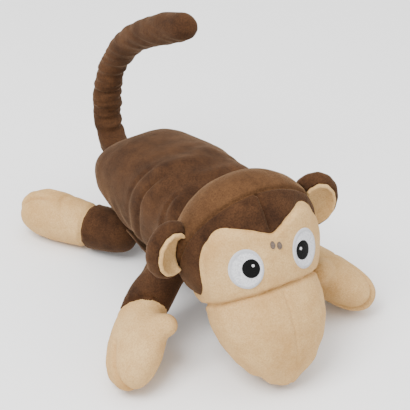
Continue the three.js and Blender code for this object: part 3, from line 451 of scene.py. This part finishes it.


# The first colour of each plush is painted shade for the hollows between its tufts.
brown_plush = plush(
    "brown_plush_pile", pile_shade=(0.012, 0.005, 0.002), middle=(0.026, 0.0105, 0.0045),
    light=(0.085, 0.036, 0.0135), sheen=0.16, tint=(0.9, 0.55, 0.28),
)
# A lighter copy of the brown plush for the back panel over the crown. Its lighter colours are painted light, for
# the light that falls on the top of the head.
crown_painted_light_plush = plush(
    "brown_plush_painted_top_light", pile_shade=(0.025, 0.01, 0.004), middle=(0.058, 0.025, 0.0095),
    light=(0.13, 0.06, 0.023), sheen=0.22, tint=(0.95, 0.6, 0.3),
)
tan_plush = plush(
    "tan_plush_pile", pile_shade=(0.36, 0.19, 0.065), middle=(0.49, 0.29, 0.11),
    light=(0.66, 0.44, 0.2), sheen=0.06, tint=(1.0, 0.85, 0.6),
)
print("plush", brown_plush.material.name, tan_plush.material.name)

# %% [markdown]
# ## The trunk, arms and hands
#
# On the toy the trunk's cover and the arms are sewn together, and the hands are tan ends of the same tubes.
# They are modelled as one skin, which gives the soft fillets where an arm grows out of the shoulder, and the
# hands are cut off at the wrist seams afterwards.

# %% One skin for trunk and arms
TRUNK_CLOTH = 1.8  # thickness of the covers with their pile, in millimetres
HEAD_CLOTH = 1.6
trunk = copy_of("trunk_cover", ["torso_skin", "shoulder_skin"], hull=True)
limbs = [copy_of(f"arm_{s}", [f"arm_sleeve_{s}", f"hand_{s}", f"arm_stuffing_{s}"]) for s in SIDES]
joined(trunk, *limbs)
skin_of(trunk, 2.2, relax=12)
puff(trunk, 2.0)
finer(trunk)
print("trunk and arms", len(trunk.data.polygons), "faces")

# %% [markdown]
# The seams pull the cloth in, with small puckers across them. Behind the shoulders the cloth hangs slack in
# folds that run round the body, because it has to let the front half turn.

# %% Press seams and folds into the trunk
WRISTS = {s: seam_plane(f"arm_sleeve_{s}", f"hand_{s}") for s in SIDES}
WRIST_REACH = 34 * MM  # past this, a point near a wrist's plane belongs to something else
PUCKER = (260, 260, 260)  # puckers across a seam, in waves a metre


def wrist_distance(co, side):
    centre, normal = WRISTS[side]
    away = np.linalg.norm(co - np.array(centre), axis=1)
    return np.where(away < WRIST_REACH, plane_distance(co, centre, normal), 1.0)


def trunk_shape(co):
    x, y, z = co.T
    back = ramp(z, 36 * MM, 58 * MM)
    waist = groove(y - (ROLL.y - 2 * MM), 11)
    slack = groove(y - (ROLL.y + 14 * MM), 20) + groove(y - (ROLL.y - 14 * MM), 12)
    slanted = np.stack([x + 0.35 * y, y - 0.35 * np.abs(x - ROLL.x), z], axis=1)
    round_folds = lumps(slanted, (20, 62, 20)) + 0.4 * lumps(co, (60, 90, 60), 7)
    crease = lumps(slanted, (9, 46, 9), 11)
    depth = -1.4 * waist + 2.0 * slack * back * round_folds
    flank = ramp(np.abs(x - ROLL.x), 20 * MM, 36 * MM)
    depth += -1.9 * np.minimum(slack, 1) * back * flank * np.exp(-((crease / 0.1) ** 2))
    hip = groove(np.hypot(y - at(0, 47, 0).y, z - 42 * MM), 18)
    depth += 1.6 * hip * lumps(np.stack([x, y - z, 0 * z], axis=1), (25, 85, 1), 2)
    rump = ramp(y, ROLL.y + 60 * MM, ROLL.y + 110 * MM)
    depth += 0.8 * lumps(co, (32, 32, 32), 3) * (1 - 0.5 * waist)
    depth += 0.7 * rump * lumps(co, (24, 80, 60), 5)
    for side in SIDES:
        seam = groove(wrist_distance(co, side), 1.6)
        near = groove(wrist_distance(co, side), 7)
        depth += -2.0 * seam + 0.8 * near * lumps(co, PUCKER, 9)
    return depth * MM


press(trunk, trunk_shape)

# %% [markdown]
# The fingers are only creases: short rows of stitches through the stuffed hand pull lines in from its tip.


# %% Creases for the fingers
LIMB_REACH = 90 * MM  # no hand or foot is longer than this


def limb_axes(node, wrist):
    """The directions out of a wrist: along the limb, across it, and out of its back."""
    centre, along = wrist
    co = np.array([v.co for v in NODES[node].data.vertices]) - np.array(centre)
    along = np.array(along)
    flat = co - np.outer(co @ along, along)
    across = np.linalg.svd(flat - flat.mean(axis=0))[2][0]
    if node.startswith("foot"):
        across = np.cross(along, (0, 0, 1))
        across /= np.linalg.norm(across)
    return np.array(centre), along, across, np.cross(along, across)


def finger_creases(obj, node, seam, lines, start, depth, width):
    """Presses in a crease on each line, from start to the tip, and a fold across the back of the limb."""
    centre, along, across, back = limb_axes(node, seam)

    def shape(co):
        local = co - centre
        out, wide = local @ along / MM, local @ across / MM
        mine = np.linalg.norm(local, axis=1) < LIMB_REACH
        total = np.zeros(len(co))
        for line in lines:
            bent = wide - line * (1 + 0.008 * (out - start)) + 0.8 * np.sin(out / 7)
            total += groove(bent * MM, width) * ramp(out, start, start + 9)
        fold = (out - start + 5 + 0.03 * wide**2) * MM
        off_edge = np.abs(local @ back) > 3 * MM
        total += 0.55 * groove(fold, width) * groove(wide * MM, 11) * off_edge
        return -depth * MM * total * mine * (out > 0)

    press(obj, shape)


for side in SIDES:
    finger_creases(trunk, f"hand_{side}", WRISTS[side], (-8.5, 0.5, 9.5), 25, 3.0, 1.8)

# %% [markdown]
# Each hand is cut off where its wrist seam runs, and gets tan cloth. A window is cut in the belly, behind the
# flap, where the battery case is reached.


# %% Cut off the hands at the wrist seams
def from_node(co, *nodes):
    """How far each point is from the nearest of these CAD nodes."""
    meshes = [NODES[n].data for n in nodes]
    trees = [
        BVHTree.FromPolygons([v.co for v in m.vertices], [p.vertices for p in m.polygons]) for m in meshes
    ]
    return np.array([min(tree.find_nearest(Vector(p))[3] for tree in trees) for p in co])


def hand_field(co, side):
    """Positive on the hand: beyond the wrist seam's plane, and nearer to the hand than to the rest."""
    centre, normal = WRISTS[side]
    near = np.linalg.norm(co - np.array(centre), axis=1) < 25 * MM
    rest = [f"arm_sleeve_{side}", "shoulder_skin", "torso_skin"]
    mine = from_node(co, f"hand_{side}") < from_node(co, *rest)
    return np.where(near, plane_distance(co, centre, normal), np.where(mine, 1.0, -1.0))


hands = {s: cut_off(trunk, lambda co, s=s: hand_field(co, s), f"hand_cover_{s}") for s in SIDES}

# %% Open the belly
WINDOW = next(o for o in frame["record"]["physics"]["openings"] if "belly" in o["name"])
WINDOW_LOW, WINDOW_HIGH = (np.array(corner) for corner in WINDOW["box_m"])
LIP = np.array((9.3 * MM, 3 * MM))  # how far the cloth's edge lies outside the stated opening


def belly_field(co):
    middle = (WINDOW_LOW + WINDOW_HIGH)[:2] / 2
    half = (WINDOW_HIGH - WINDOW_LOW)[:2] / 2 + LIP
    inset = half - np.abs(co[:, :2] - middle)
    return np.minimum(inset.min(axis=1), WINDOW_HIGH[2] + 6 * MM - co[:, 2])


patch = cut_off(trunk, belly_field, "belly_patch")
bpy.data.objects.remove(patch)
thicken(trunk, TRUNK_CLOTH)
brown_plush.on(trunk)
for obj in hands.values():
    thicken(obj, TRUNK_CLOTH)
    tan_plush.on(obj)
print("trunk", len(trunk.data.polygons), "hands", [len(o.data.polygons) for o in hands.values()])

# %% [markdown]
# ## The head
#
# The head is a stuffed ball in panels: a back panel, a brow panel in front of the seam that runs over the
# crown from ear to ear, a tan face, and a long tan muzzle below the mouth seam. One skin is shaped and cut
# along those seams, so that neighbouring panels meet exactly, as sewn cloth does.

# %% One skin for the head
HEAD_NODES = ["head_back_skin", "head_brow_skin", "face_mask", "muzzle_skin", "head_stuffing"]
head = copy_of("head_cover", HEAD_NODES)
skin_of(head, 1.9, relax=5)
puff(head, 2.0)
finer(head)
print("head", len(head.data.polygons), "faces")

# %% [markdown]
# Every seam is the zero line of a field over the head. The mouth and crown seams lie in planes. The face's
# outline has a lobe over each eye with a soft notch between them, rounded corners, and sides that narrow.

# %% The lines of its seams
MOUTH = at(0, -76, 59)
MOUTH_TILT = math.radians(35.5)
MOUTH_DOWN = Vector((0, -math.sin(MOUTH_TILT), -math.cos(MOUTH_TILT)))
CROWN, CROWN_OUT = seam_plane("head_back_skin", "head_brow_skin", near=0.8)
FACE_LOW, FACE_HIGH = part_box("face_mask")
FACE_HALF = (FACE_HIGH.x - FACE_LOW.x) / 2
FACE_TOP = FACE_HIGH.z
LOBE = 0.57 * FACE_HALF  # how far out the top of each lobe is
NOTCH = 6.5 * MM
NOTCH_SOFT = 2.5 * MM
CORNER_TALL = 26 * MM
NARROWING = 4 * MM


def face_field(co):
    """Positive inside the face's outline."""
    x, z = np.abs(co[:, 0] - ROLL.x), co[:, 2]
    turn = np.clip(np.hypot(x, NOTCH_SOFT) / LOBE, 0, 1) * math.pi / 2
    top = FACE_TOP - NOTCH * (1 - np.sin(turn)) ** 1.2 - z
    wide = FACE_HALF - LOBE
    over, up = (x - LOBE) / wide, (z - FACE_TOP + CORNER_TALL) / CORNER_TALL
    corner = (1 - np.hypot(np.maximum(over, 0), np.maximum(up, 0))) * wide
    side = FACE_HALF - NARROWING * ramp(FACE_TOP - CORNER_TALL - z, 0, 40 * MM) - x
    field = np.where(x < LOBE, np.minimum(top, FACE_HALF), np.where(up > 0, corner, side))
    return np.minimum(field, CROWN.y - co[:, 1] + 4 * MM)


def mouth_field(co):
    return plane_distance(co, MOUTH, MOUTH_DOWN)


def crown_field(co):
    return plane_distance(co, CROWN, CROWN_OUT)


# %% [markdown]
# Stitch lines sink into the pile. The face panel is sewn on top of the head, so its edge stands up a little
# inside the seam. A short dart runs up from the notch between the brows, and another gathers the chin.


# %% Press the head's seams in
CHIN_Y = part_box("muzzle_skin")[0].y + 26 * MM


def head_shape(co):
    x, y = co[:, 0] - ROLL.x, co[:, 1]
    face, mouth, crown = face_field(co), mouth_field(co), crown_field(co)
    above = mouth < 0
    edge = np.where(above, np.abs(face), 1.0)
    depth = -1.5 * groove(edge, 1.1) + 0.7 * np.where(above, ramp(face, 0, 3 * MM), 0)
    depth += -2.6 * groove(mouth, 1.5) * (y < MOUTH.y + 40 * MM)
    outside = above & (face < -1.5 * MM)
    depth += -2.0 * groove(np.where(outside, crown, 1.0), 1.4)
    brow = outside & (crown > 0)
    depth += -2.0 * groove(np.where(brow, x, 1.0), 1.3)
    down = mouth > 2 * MM
    front = down & (y < MOUTH.y - 5 * MM)
    depth += -0.8 * groove(np.where(front, x, 1.0), 1.0)
    chin = ramp(mouth, 44 * MM, 54 * MM) * ramp(70 * MM - mouth, 0, 12 * MM)
    depth += chin * 0.9 * np.cos(np.arctan2(x, CHIN_Y - y) * 9)
    depth += 0.45 * lumps(co, (42, 42, 42), 2) + 0.5 * groove(mouth, 7) * lumps(co, PUCKER, 4)
    return depth * MM


press(head, head_shape)

# %% Cut it into its panels
muzzle = cut_off(head, mouth_field, "muzzle_cover")
face = cut_off(head, face_field, "face_cover")
brow = cut_off(head, crown_field, "brow_cover")
HEAD_SKIN = BVHTree.FromObject(face, bpy.context.evaluated_depsgraph_get())
# The back panel takes the lighter brown plush, which is painted light on the top of the head.
for obj, finish in ((head, crown_painted_light_plush), (brow, brown_plush), (face, tan_plush), (muzzle, tan_plush)):
    thicken(obj, HEAD_CLOTH)
    finish.on(obj)
print("head panels", [(o.name, len(o.data.polygons)) for o in (head, brow, face, muzzle)])

# %% [markdown]
# ## The eyes and the nose
#
# They are embroidered: a white oval in dense stitches with a raised satin rim, a black pupil on it with a
# white glint, and two small grey stitches for the nose. Each is a domed disc that follows the face: every
# point is dropped onto the face panel along the line of sight from the front.


# %% Stitching that follows the face
SUNK = 0.5  # how far a patch's edge is drawn into the pile
STITCH_THICK = 0.7


def on_face(x, z):
    """The face's surface and its normal, seen from straight in front."""
    spot, normal, _, _ = HEAD_SKIN.ray_cast(at(x, -180, z), Vector((0, 1, 0)))
    if spot is None:
        spot, normal, _, _ = HEAD_SKIN.find_nearest(at(x, -110, z))
    return spot, normal


def stitched(name, x, z, half_wide, half_tall, lift, tilt=0.0, rim=0.0, around=72, rings=14):
    """An embroidered oval. Its UV runs round it and out from its middle."""
    bm = bmesh.new()
    layer = bm.loops.layers.uv.new("UVMap")
    verts = []
    for r in range(rings + 1):
        share = r / rings
        rounded = math.sqrt(max(0.0, 1 - share**6))
        raised = lift * rounded + rim * math.exp(-(((share - 0.88) / 0.07) ** 2))
        if r == rings:
            raised -= SUNK
        row = []
        for i in range(around):
            angle = 2 * math.pi * i / around
            a, b = share * half_wide * math.cos(angle), share * half_tall * math.sin(angle)
            px = x + a * math.cos(tilt) - b * math.sin(tilt)
            pz = z + a * math.sin(tilt) + b * math.cos(tilt)
            spot, normal = on_face(px, pz)
            row.append(bm.verts.new(spot + normal * raised * MM))
            if r == 0:
                break
        verts.append(row)
    for r in range(rings):
        for i in range(around):
            j = (i + 1) % around
            if r == 0:
                face = bm.faces.new((verts[0][0], verts[1][j], verts[1][i]))
            else:
                face = bm.faces.new((verts[r][i], verts[r][j], verts[r + 1][j], verts[r + 1][i]))
    bmesh.ops.recalc_face_normals(bm, faces=bm.faces)
    bm.normal_update()
    if sum(f.normal.y * f.calc_area() for f in bm.faces) > 0:
        bmesh.ops.reverse_faces(bm, faces=bm.faces)
    index = {v: (r, i) for r, row in enumerate(verts) for i, v in enumerate(row)}
    for f in bm.faces:
        turns = [index[loop.vert][1] for loop in f.loops if index[loop.vert][0]]
        wraps = max(turns) - min(turns) > around / 2
        for loop in f.loops:
            r, i = index[loop.vert]
            turn = i + (around if wraps and i == 0 else 0)
            loop[layer].uv = (turn / around, r / rings)
    obj = as_object(name, bm)
    thicken(obj, STITCH_THICK)
    return obj


EYE = {"x": 21.5, "z": 94.5, "wide": 10.8, "tall": 13, "tilt": 0.24}
PUPIL = {"in": 2.6, "up": 0.6, "wide": 5.9, "tall": 6.5}
GLINT = {"in": 1.6, "right": 0.3, "up": 1.9, "r": 1.15}
NOSTRIL = {"x": 2.3, "z": 105, "lower": 0.8, "wide": 1.9, "tall": 2.5}
whites, pupils, glints, nose = {}, {}, {}, []
for side, s in SIDES.items():
    tilt = EYE["tilt"] * s
    whites[side] = stitched(
        f"eye_stitching_{side}", EYE["x"] * s, EYE["z"], EYE["wide"], EYE["tall"],
        lift=0.5, tilt=tilt, rim=0.55,
    )
    x, z = (EYE["x"] - PUPIL["in"]) * s, EYE["z"] + PUPIL["up"]
    pupils[side] = stitched(
        f"pupil_stitching_{side}", x, z, PUPIL["wide"], PUPIL["tall"],
        lift=1.0, tilt=tilt, around=48, rings=10,
    )
    x, z = x - GLINT["in"] * s - GLINT["right"], z + GLINT["up"]
    glints[side] = stitched(
        f"pupil_glint_{side}", x, z, GLINT["r"], GLINT["r"], lift=1.45, around=20, rings=4,
    )
for side, s in SIDES.items():
    x, z = NOSTRIL["x"] * s, NOSTRIL["z"] - NOSTRIL["lower"] * s
    nose.append(stitched(
        f"nose_stitch_{side}", x, z, NOSTRIL["wide"], NOSTRIL["tall"], lift=0.8, around=24, rings=5,
    ))
print("eyes and nose", len(whites) + len(pupils) + len(glints) + len(nose), "pieces")


# %% Thread
def thread(name, colour, shade, stitches, stipple):
    made = Finish(name, Roughness=0.6)
    made.surface.inputs["Specular IOR Level"].default_value = 0.12
    round_it = made.axis("X", made.uv())
    outward = made.axis("Y", made.uv())
    wave = (round_it * (stitches * 2 * math.pi)).math("SINE") * 0.5 + 0.5
    dots = made.cells(900, feature="F1")
    rim = outward.step(0.78, 0.84)
    height = wave * rim + (1 - dots) * (1 - rim) * stipple
    wear = made.grain(260, detail=3)
    made.feed(Base_Color=made.blend((height * 0.7 + wear * 0.4).clamp(), shade, colour))
    made.bump(height + made.grain(1500) * 0.3, 0.5, 0.8)
    return made


white_thread = thread("white_stitching", (0.78, 0.78, 0.8), (0.42, 0.42, 0.45), 110, 1.0)
black_thread = thread("black_stitching", (0.003, 0.003, 0.003), (0.001, 0.001, 0.001), 60, 0.5)
grey_thread = thread("nose_stitching", (0.2, 0.15, 0.12), (0.08, 0.06, 0.05), 24, 0.8)
white_thread.on(*whites.values(), *glints.values())
black_thread.on(*pupils.values())
grey_thread.on(*nose)

# %% [markdown]
# ## The ears
#
# An ear is a brown cup, stuffed a little, with a tan lining sewn inside its rim. The frame's solids are
# remeshed finely, because an ear's rim is thin, and are pressed a little out of true.

# %% Ears from the frame's cups
ears, linings = {}, {}
for side in SIDES:
    cup = copy_of(f"ear_cover_{side}", [f"ear_{side}"])
    skin_of(cup, 1.0, relax=8)
    press(cup, lambda co: 0.5 * MM * lumps(co, (90, 90, 90), 6))
    finer(cup)
    lining = copy_of(f"ear_lining_cover_{side}", [f"ear_lining_{side}"])
    skin_of(lining, 0.7, relax=3)
    press(lining, lambda co: (0.35 + 0.3 * lumps(co, (110, 110, 110), 8)) * MM)
    smooth(cup, 60)
    smooth(lining, 60)
    ears[side], linings[side] = cup, lining
brown_plush.on(*ears.values())
tan_plush.on(*linings.values())
print("ears", [len(o.data.polygons) for o in (*ears.values(), *linings.values())])

# %% [markdown]
# ## The legs and the tail
#
# Each hind leg is a brown sleeve with a tan foot, cut from one skin as the arms are. The tail is a long tube
# round a wire. Its cloth is cut a little long, so it wrinkles on the inner side of its lower bend. Its root
# is sewn into the rump: the end of the tube is stretched forward into the cover there and flared.

# %% Legs and feet
legs, feet = {}, {}
for side in SIDES:
    leg = copy_of(f"leg_cover_{side}", [f"leg_sleeve_{side}", f"foot_{side}", f"leg_stuffing_{side}"])
    skin_of(leg, 1.9, relax=5)
    puff(leg, 1.2)
    finer(leg)
    ankle = seam_plane(f"leg_sleeve_{side}", f"foot_{side}")

    def leg_shape(co, ankle=ankle):
        away = plane_distance(co, *ankle)
        depth = -1.8 * groove(away, 1.6) + 0.7 * groove(away, 7) * lumps(co, PUCKER, 1)
        hip = ramp(-away, 8 * MM, 30 * MM)
        return (depth + 0.6 * lumps(co, (40, 40, 40), 5) + 1.0 * hip * lumps(co, (90, 30, 60), 2)) * MM

    press(leg, leg_shape)
    finger_creases(leg, f"foot_{side}", ankle, (-5.5, 5.5), 27, 3.2, 1.9)
    co = points_of(leg)
    co[:, 2] = np.maximum(co[:, 2], 0.05 * MM)
    set_points(leg, co)
    foot = cut_off(leg, lambda co, ankle=ankle: plane_distance(co, *ankle), f"foot_cover_{side}")
    for obj, finish in ((leg, brown_plush), (foot, tan_plush)):
        thicken(obj, HEAD_CLOTH)
        finish.on(obj)
    legs[side], feet[side] = leg, foot
print("legs", [len(o.data.polygons) for o in (*legs.values(), *feet.values())])

# %% [markdown]
# The tail is filled less than the rest. Its long wrinkled cloth is a noise that changes fast along the tube
# and slowly across it, strongest on the inner side of the lower bend.

# %% The tail
tail = copy_of("tail_cover", ["tail_skin", "tail_stuffing"])
skin_of(tail, 1.7, relax=4)
puff(tail, 0.8)
finer(tail)
TAIL_LOW, TAIL_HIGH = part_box("tail_skin")
TAIL_ROOT = at(0, 99.5, 51)
TAIL_START = min(v.co.y for v in NODES["tail_skin"].data.vertices if v.co.z < TAIL_ROOT.z)
ROOT_STRETCH = 7.5 * MM
ROOT_FLARE = 0.2
co = points_of(tail)
root = 1 - ramp(co[:, 1], TAIL_START, TAIL_START + 12 * MM)
root *= (co[:, 2] < TAIL_ROOT.z + 16 * MM) & (co[:, 1] > TAIL_START - 3 * MM)
co[:, 1] -= ROOT_STRETCH * root
for axis in (0, 2):
    co[:, axis] += ROOT_FLARE * root * (co[:, axis] - TAIL_ROOT[axis])
set_points(tail, co)


def tail_shape(co):
    y, z = co[:, 1], co[:, 2]
    low = 1 - ramp(z, 85 * MM, 135 * MM)
    inner = 0.35 + 0.65 * ramp(TAIL_HIGH.y - y, 6 * MM, 16 * MM)
    rings = lumps(co, (22, 40, 190), 4) + 0.5 * lumps(co, (40, 40, 320), 8)
    seam = groove(co[:, 0] - TAIL_LOW.x - 10 * MM, 1.0) * (y > TAIL_HIGH.y - 18 * MM)
    depth = 2.5 * low * inner * rings + 0.7 * rings * (1 - low)
    return (depth + 0.4 * lumps(co, (60, 60, 60), 1) - 0.6 * seam) * MM


press(tail, tail_shape)
smooth(tail, 60)
brown_plush.on(tail)
print("tail", len(tail.data.polygons), "faces")

# %% [markdown]
# ## The belly flap, its tapes and the label
#
# These are single sheets of cloth. The flap hangs from its sewn right edge and gapes along the left, where
# one half of a hook-and-loop tape is sewn along it; the other half is on the belly. The label is a slip of
# satin in the seam below the tail.


# %% Sheets from the frame's thin solids
RIPPLE_WAY = (0.3, 0.2, 1)  # cloth ripples mostly up and down


def sheet_of(name, node, voxel, ripple, scale, seed):
    made = copy_of(name, [node])
    skin_of(made, voxel, relax=2)
    co = points_of(made)
    set_points(made, co + np.outer(lumps(co, scale, seed) * ripple * MM, RIPPLE_WAY))
    smooth(made, 50)
    return made


flap = sheet_of("belly_flap_cloth", "belly_flap", 1.1, 0.9, (34, 50, 0), 3)
hook = sheet_of("hook_tape_cloth", "hook_tape", 0.45, 0.3, (0, 60, 0), 5)
loop = sheet_of("loop_tape_cloth", "loop_tape", 0.45, 0.3, (0, 60, 0), 6)
label = sheet_of("care_label_cloth", "care_label", 0.5, 1.0, (30, 70, 0), 2)
brown_plush.on(flap)


# %% Tape and satin
def woven(name, colour, shade, pitch, relief, rough):
    made = Finish(name, Roughness=rough, Sheen_Weight=0.15)
    along, across = made.axis("X"), made.axis("Y")
    warp = (along * pitch * 2 * math.pi).math("SINE")
    weft = (across * pitch * 2 * math.pi).math("SINE")
    weave = warp * weft * 0.5 + 0.5
    made.feed(Base_Color=made.blend((weave * 0.6 + made.grain(300) * 0.5).clamp(), shade, colour))
    made.bump(weave + made.grain(1800) * 0.5, relief, 0.6)
    return made


white_tape = woven("white_tape_weave", (0.8, 0.8, 0.79), (0.6, 0.6, 0.6), 900, 0.3, 0.8)
satin = woven("label_satin", (0.78, 0.77, 0.76), (0.64, 0.63, 0.63), 1500, 0.12, 0.38)
white_tape.on(hook, loop)
satin.on(label)

# %% [markdown]
# ## The filling
#
# Inside the covers is polyester fibre. It is never seen unless a cover is taken off, so a lumpy skin round
# the frame's solids with a fibrous finish is enough.


# %% Fibre
fibre = Finish("polyester_fibre", Roughness=0.9, Sheen_Weight=0.4)
strands = fibre.grain(420, detail=4, rough=0.75, stretch=(1, 0.3, 1))
fibre.feed(Base_Color=fibre.blend(strands, (0.62, 0.61, 0.58), (0.9, 0.89, 0.86)))
fibre.bump(strands, 1.0, 0.8)
FILLED = {
    "head_stuffing": "front_half", "rump_stuffing": "torso", "tail_stuffing": "tail",
    "arm_stuffing_left": "front_half", "arm_stuffing_right": "front_half",
    "leg_stuffing_left": "leg_left", "leg_stuffing_right": "leg_right",
}
fillings = {}
for node in FILLED:
    filling = copy_of(node.replace("stuffing", "filling"), [node])
    skin_of(filling, 2.6, relax=3)
    press(filling, lambda co: (0.8 * lumps(co, (120, 120, 120), 3) - 0.9) * MM)
    fibre.on(filling)
    fillings[node] = filling
print("fillings", len(fillings))

# %% [markdown]
# ## The mechanism
#
# The case, the gears and the battery bay keep their shapes from the frame and get the finishes of moulded
# plastic, nylon, a printed board, printed cell sleeves and plated steel.


# %% Moulded plastic
def moulded(name, colour, shade, rough, coat=0.0):
    made = Finish(name, Roughness=rough, Coat_Weight=coat)
    flow = made.grain(60, detail=3)
    texture = made.grain(2600, detail=2)
    made.feed(Base_Color=made.blend(flow, shade, colour), Roughness=texture * 0.15 + rough - 0.07)
    made.bump(texture, 0.05, 0.5)
    return made


case_plastic = moulded("case_plastic_black", (0.028, 0.028, 0.031), (0.02, 0.02, 0.023), 0.45)
nylon = moulded("gear_nylon", (0.78, 0.76, 0.7), (0.7, 0.67, 0.6), 0.4, 0.1)

# %% [markdown]
# The board has tracks and solder spots. A cell's sleeve has a coloured band near one end and bare steel at
# both ends. Steel parts are brushed along their length.

# %% Board, cells and steel
board = Finish("circuit_board_green", Roughness=0.4)
tracks = board.node(
    "TexBrick", {"offset": 0.5}, output="Fac", Vector=board.place(), Scale=160.0, Mortar_Size=0.08,
)
spots = board.cells(420, feature="F1").step(0.12, 0.16)
base = board.blend(tracks, (0.02, 0.12, 0.05), (0.04, 0.2, 0.09))
board.feed(Base_Color=board.blend(spots, (0.55, 0.5, 0.35), base), Roughness=spots * 0.2 + 0.25)
board.bump(tracks + spots * 0.4, 0.06, 0.6)

CELL_LOW, CELL_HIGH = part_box("battery_1")
cell = Finish("cell_sleeve_print", Roughness=0.3, Metallic=0.4)
length = (cell.axis("X") - CELL_LOW.x) / (CELL_HIGH.x - CELL_LOW.x)
end = (length - 0.5).math("ABSOLUTE").step(0.47, 0.475)
band = length.step(0.7, 0.705)
sleeve = cell.blend(band, (0.06, 0.07, 0.09), (0.55, 0.32, 0.08))
cell.feed(Base_Color=cell.blend(end, sleeve, (0.6, 0.6, 0.6)), Metallic=end * 0.6 + 0.3)
cell.bump(cell.grain(900), 0.03, 0.3)

steel = Finish("plated_steel", Metallic=1.0, Roughness=0.32)
brushed = steel.grain(900, detail=3, stretch=(1, 0.08, 1))
steel.feed(
    Base_Color=steel.blend(brushed, (0.42, 0.43, 0.45), (0.62, 0.63, 0.65)), Roughness=brushed * 0.25 + 0.2,
)
steel.bump(brushed, 0.04, 0.4)

HARD = {
    "case_plastic": case_plastic, "gear_plastic": nylon, "board": board, "cell_sleeve": cell, "steel": steel,
}
shown = 0
for entry in frame["record"]["subparts"]:
    finish = HARD.get(entry["material_slot"])
    if finish:
        for slot in NODES[entry["node"]].material_slots:
            slot.material = finish.material
        shown += 1
print("hard nodes with a finish", shown)

# %% [markdown]
# ## What moves with what
#
# The trunk's cloth belongs to both halves, as the real cloth twists over the few millimetres at the roll joint,
# and the tail's cloth runs from the rump into the tail. Both are left on no body here.
# Everything else rides on one body.

# %% Bodies, slots and stand-ins
tuple(at(0, 5, 74))
tuple(at(0, -7, 74))
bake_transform(trunk)
tuple(at(0, 93, 47))
tuple(at(0, 103, 60))
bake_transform(tail)
PIECES = [
    (trunk, None, "brown_plush", ["torso_skin", "shoulder_skin", "arm_sleeve_left", "arm_sleeve_right"]),
    (head, "front_half", "brown_plush", ["head_back_skin"]),
    (brow, "front_half", "brown_plush", ["head_brow_skin"]),
    (face, "front_half", "tan_plush", ["face_mask"]),
    (muzzle, "front_half", "tan_plush", ["muzzle_skin"]),
    (tail, None, "brown_plush", ["tail_skin"]),
]
for side in SIDES:
    PIECES += [
        (hands[side], "front_half", "tan_plush", [f"hand_{side}"]),
        (ears[side], "front_half", "brown_plush", [f"ear_{side}"]),
        (linings[side], "front_half", "tan_plush", [f"ear_lining_{side}"]),
        (legs[side], f"leg_{side}", "brown_plush", [f"leg_sleeve_{side}"]),
        (feet[side], f"leg_{side}", "tan_plush", [f"foot_{side}"]),
    ]
PIECES += [(fillings[node], body, "fibre", [node]) for node, body in FILLED.items()]
for obj, body, slot, nodes in PIECES:
    if body:
        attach(obj, body)
    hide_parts(*nodes)
for side in SIDES:
    for obj in (whites[side], pupils[side], glints[side]):
        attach(obj, "front_half")
        "black_thread" if obj == pupils[side] else "white_thread"
    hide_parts(f"eye_white_{side}")
    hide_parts(f"eye_pupil_{side}")
for obj in nose:
    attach(obj, "front_half")

# %% [markdown]
# The flap was cut to the width and length that it has in the frame. The label is as long as its line in the
# seam. The tapes are too narrow to count as sheets; the hook tape goes with the flap.


for obj, node, body, slot in (
    (flap, "belly_flap", "belly_flap", "brown_plush"),
    (hook, "hook_tape", "belly_flap", "white_tape"),
    (loop, "loop_tape", "torso", "white_tape"),
    (label, "care_label", "torso", "satin_label"),
):
    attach(obj, body)
    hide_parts(node)

# %% [markdown]
# ## Stage
#
# A pale floor, a large soft light over the monkey's right shoulder, a weaker one on the other side and one
# overhead. The camera looks down on the monkey from in front and from its right.

# %% Floor, lights and camera
bpy.ops.mesh.primitive_plane_add(size=6, location=(0, 0, 0))
floor = bpy.context.object
floor.name = "studio_floor"
paper = Finish("studio_paper", Roughness=0.9)
paper.feed(Base_Color=paper.blend(paper.grain(3), (0.93, 0.93, 0.93), (0.95, 0.95, 0.95)))
paper.on(floor)

world = bpy.data.worlds.new("studio")
bpy.context.scene.world = world
world.use_nodes = True
world.node_tree.nodes["Background"].inputs["Color"].default_value = (1, 1, 1, 1)
world.node_tree.nodes["Background"].inputs["Strength"].default_value = 1.15

MIDDLE = (Vector(CAD_BOX[0]) + Vector(CAD_BOX[1])) / 2


def from_angle(azimuth, elevation, distance, target):
    a, e = math.radians(azimuth), math.radians(elevation)
    return target + distance * Vector((math.sin(a) * math.cos(e), -math.cos(a) * math.cos(e), math.sin(e)))


def aim(obj, target):
    obj.rotation_euler = (target - obj.location).to_track_quat("-Z", "Y").to_euler()


for name, azimuth, elevation, distance, size, power in (
    ("key_softbox", -70, 58, 1.3, 0.7, 24),
    ("fill_softbox", 60, 40, 1.5, 1.2, 5),
    ("top_softbox", 10, 86, 1.6, 1.2, 12),
):
    lamp = bpy.data.objects.new(name, bpy.data.lights.new(name, "AREA"))
    bpy.context.scene.collection.objects.link(lamp)
    lamp.data.size = size
    lamp.data.energy = power
    lamp.location = from_angle(azimuth, elevation, distance, MIDDLE)
    aim(lamp, MIDDLE)

camera = bpy.data.objects.new("camera", bpy.data.cameras.new("camera"))
bpy.context.scene.collection.objects.link(camera)
bpy.context.scene.camera = camera
TARGET = at(3, 0, 76)
camera.location = from_angle(-30, 36, 0.97, TARGET)
aim(camera, TARGET)
camera.data.angle = math.radians(16.4)
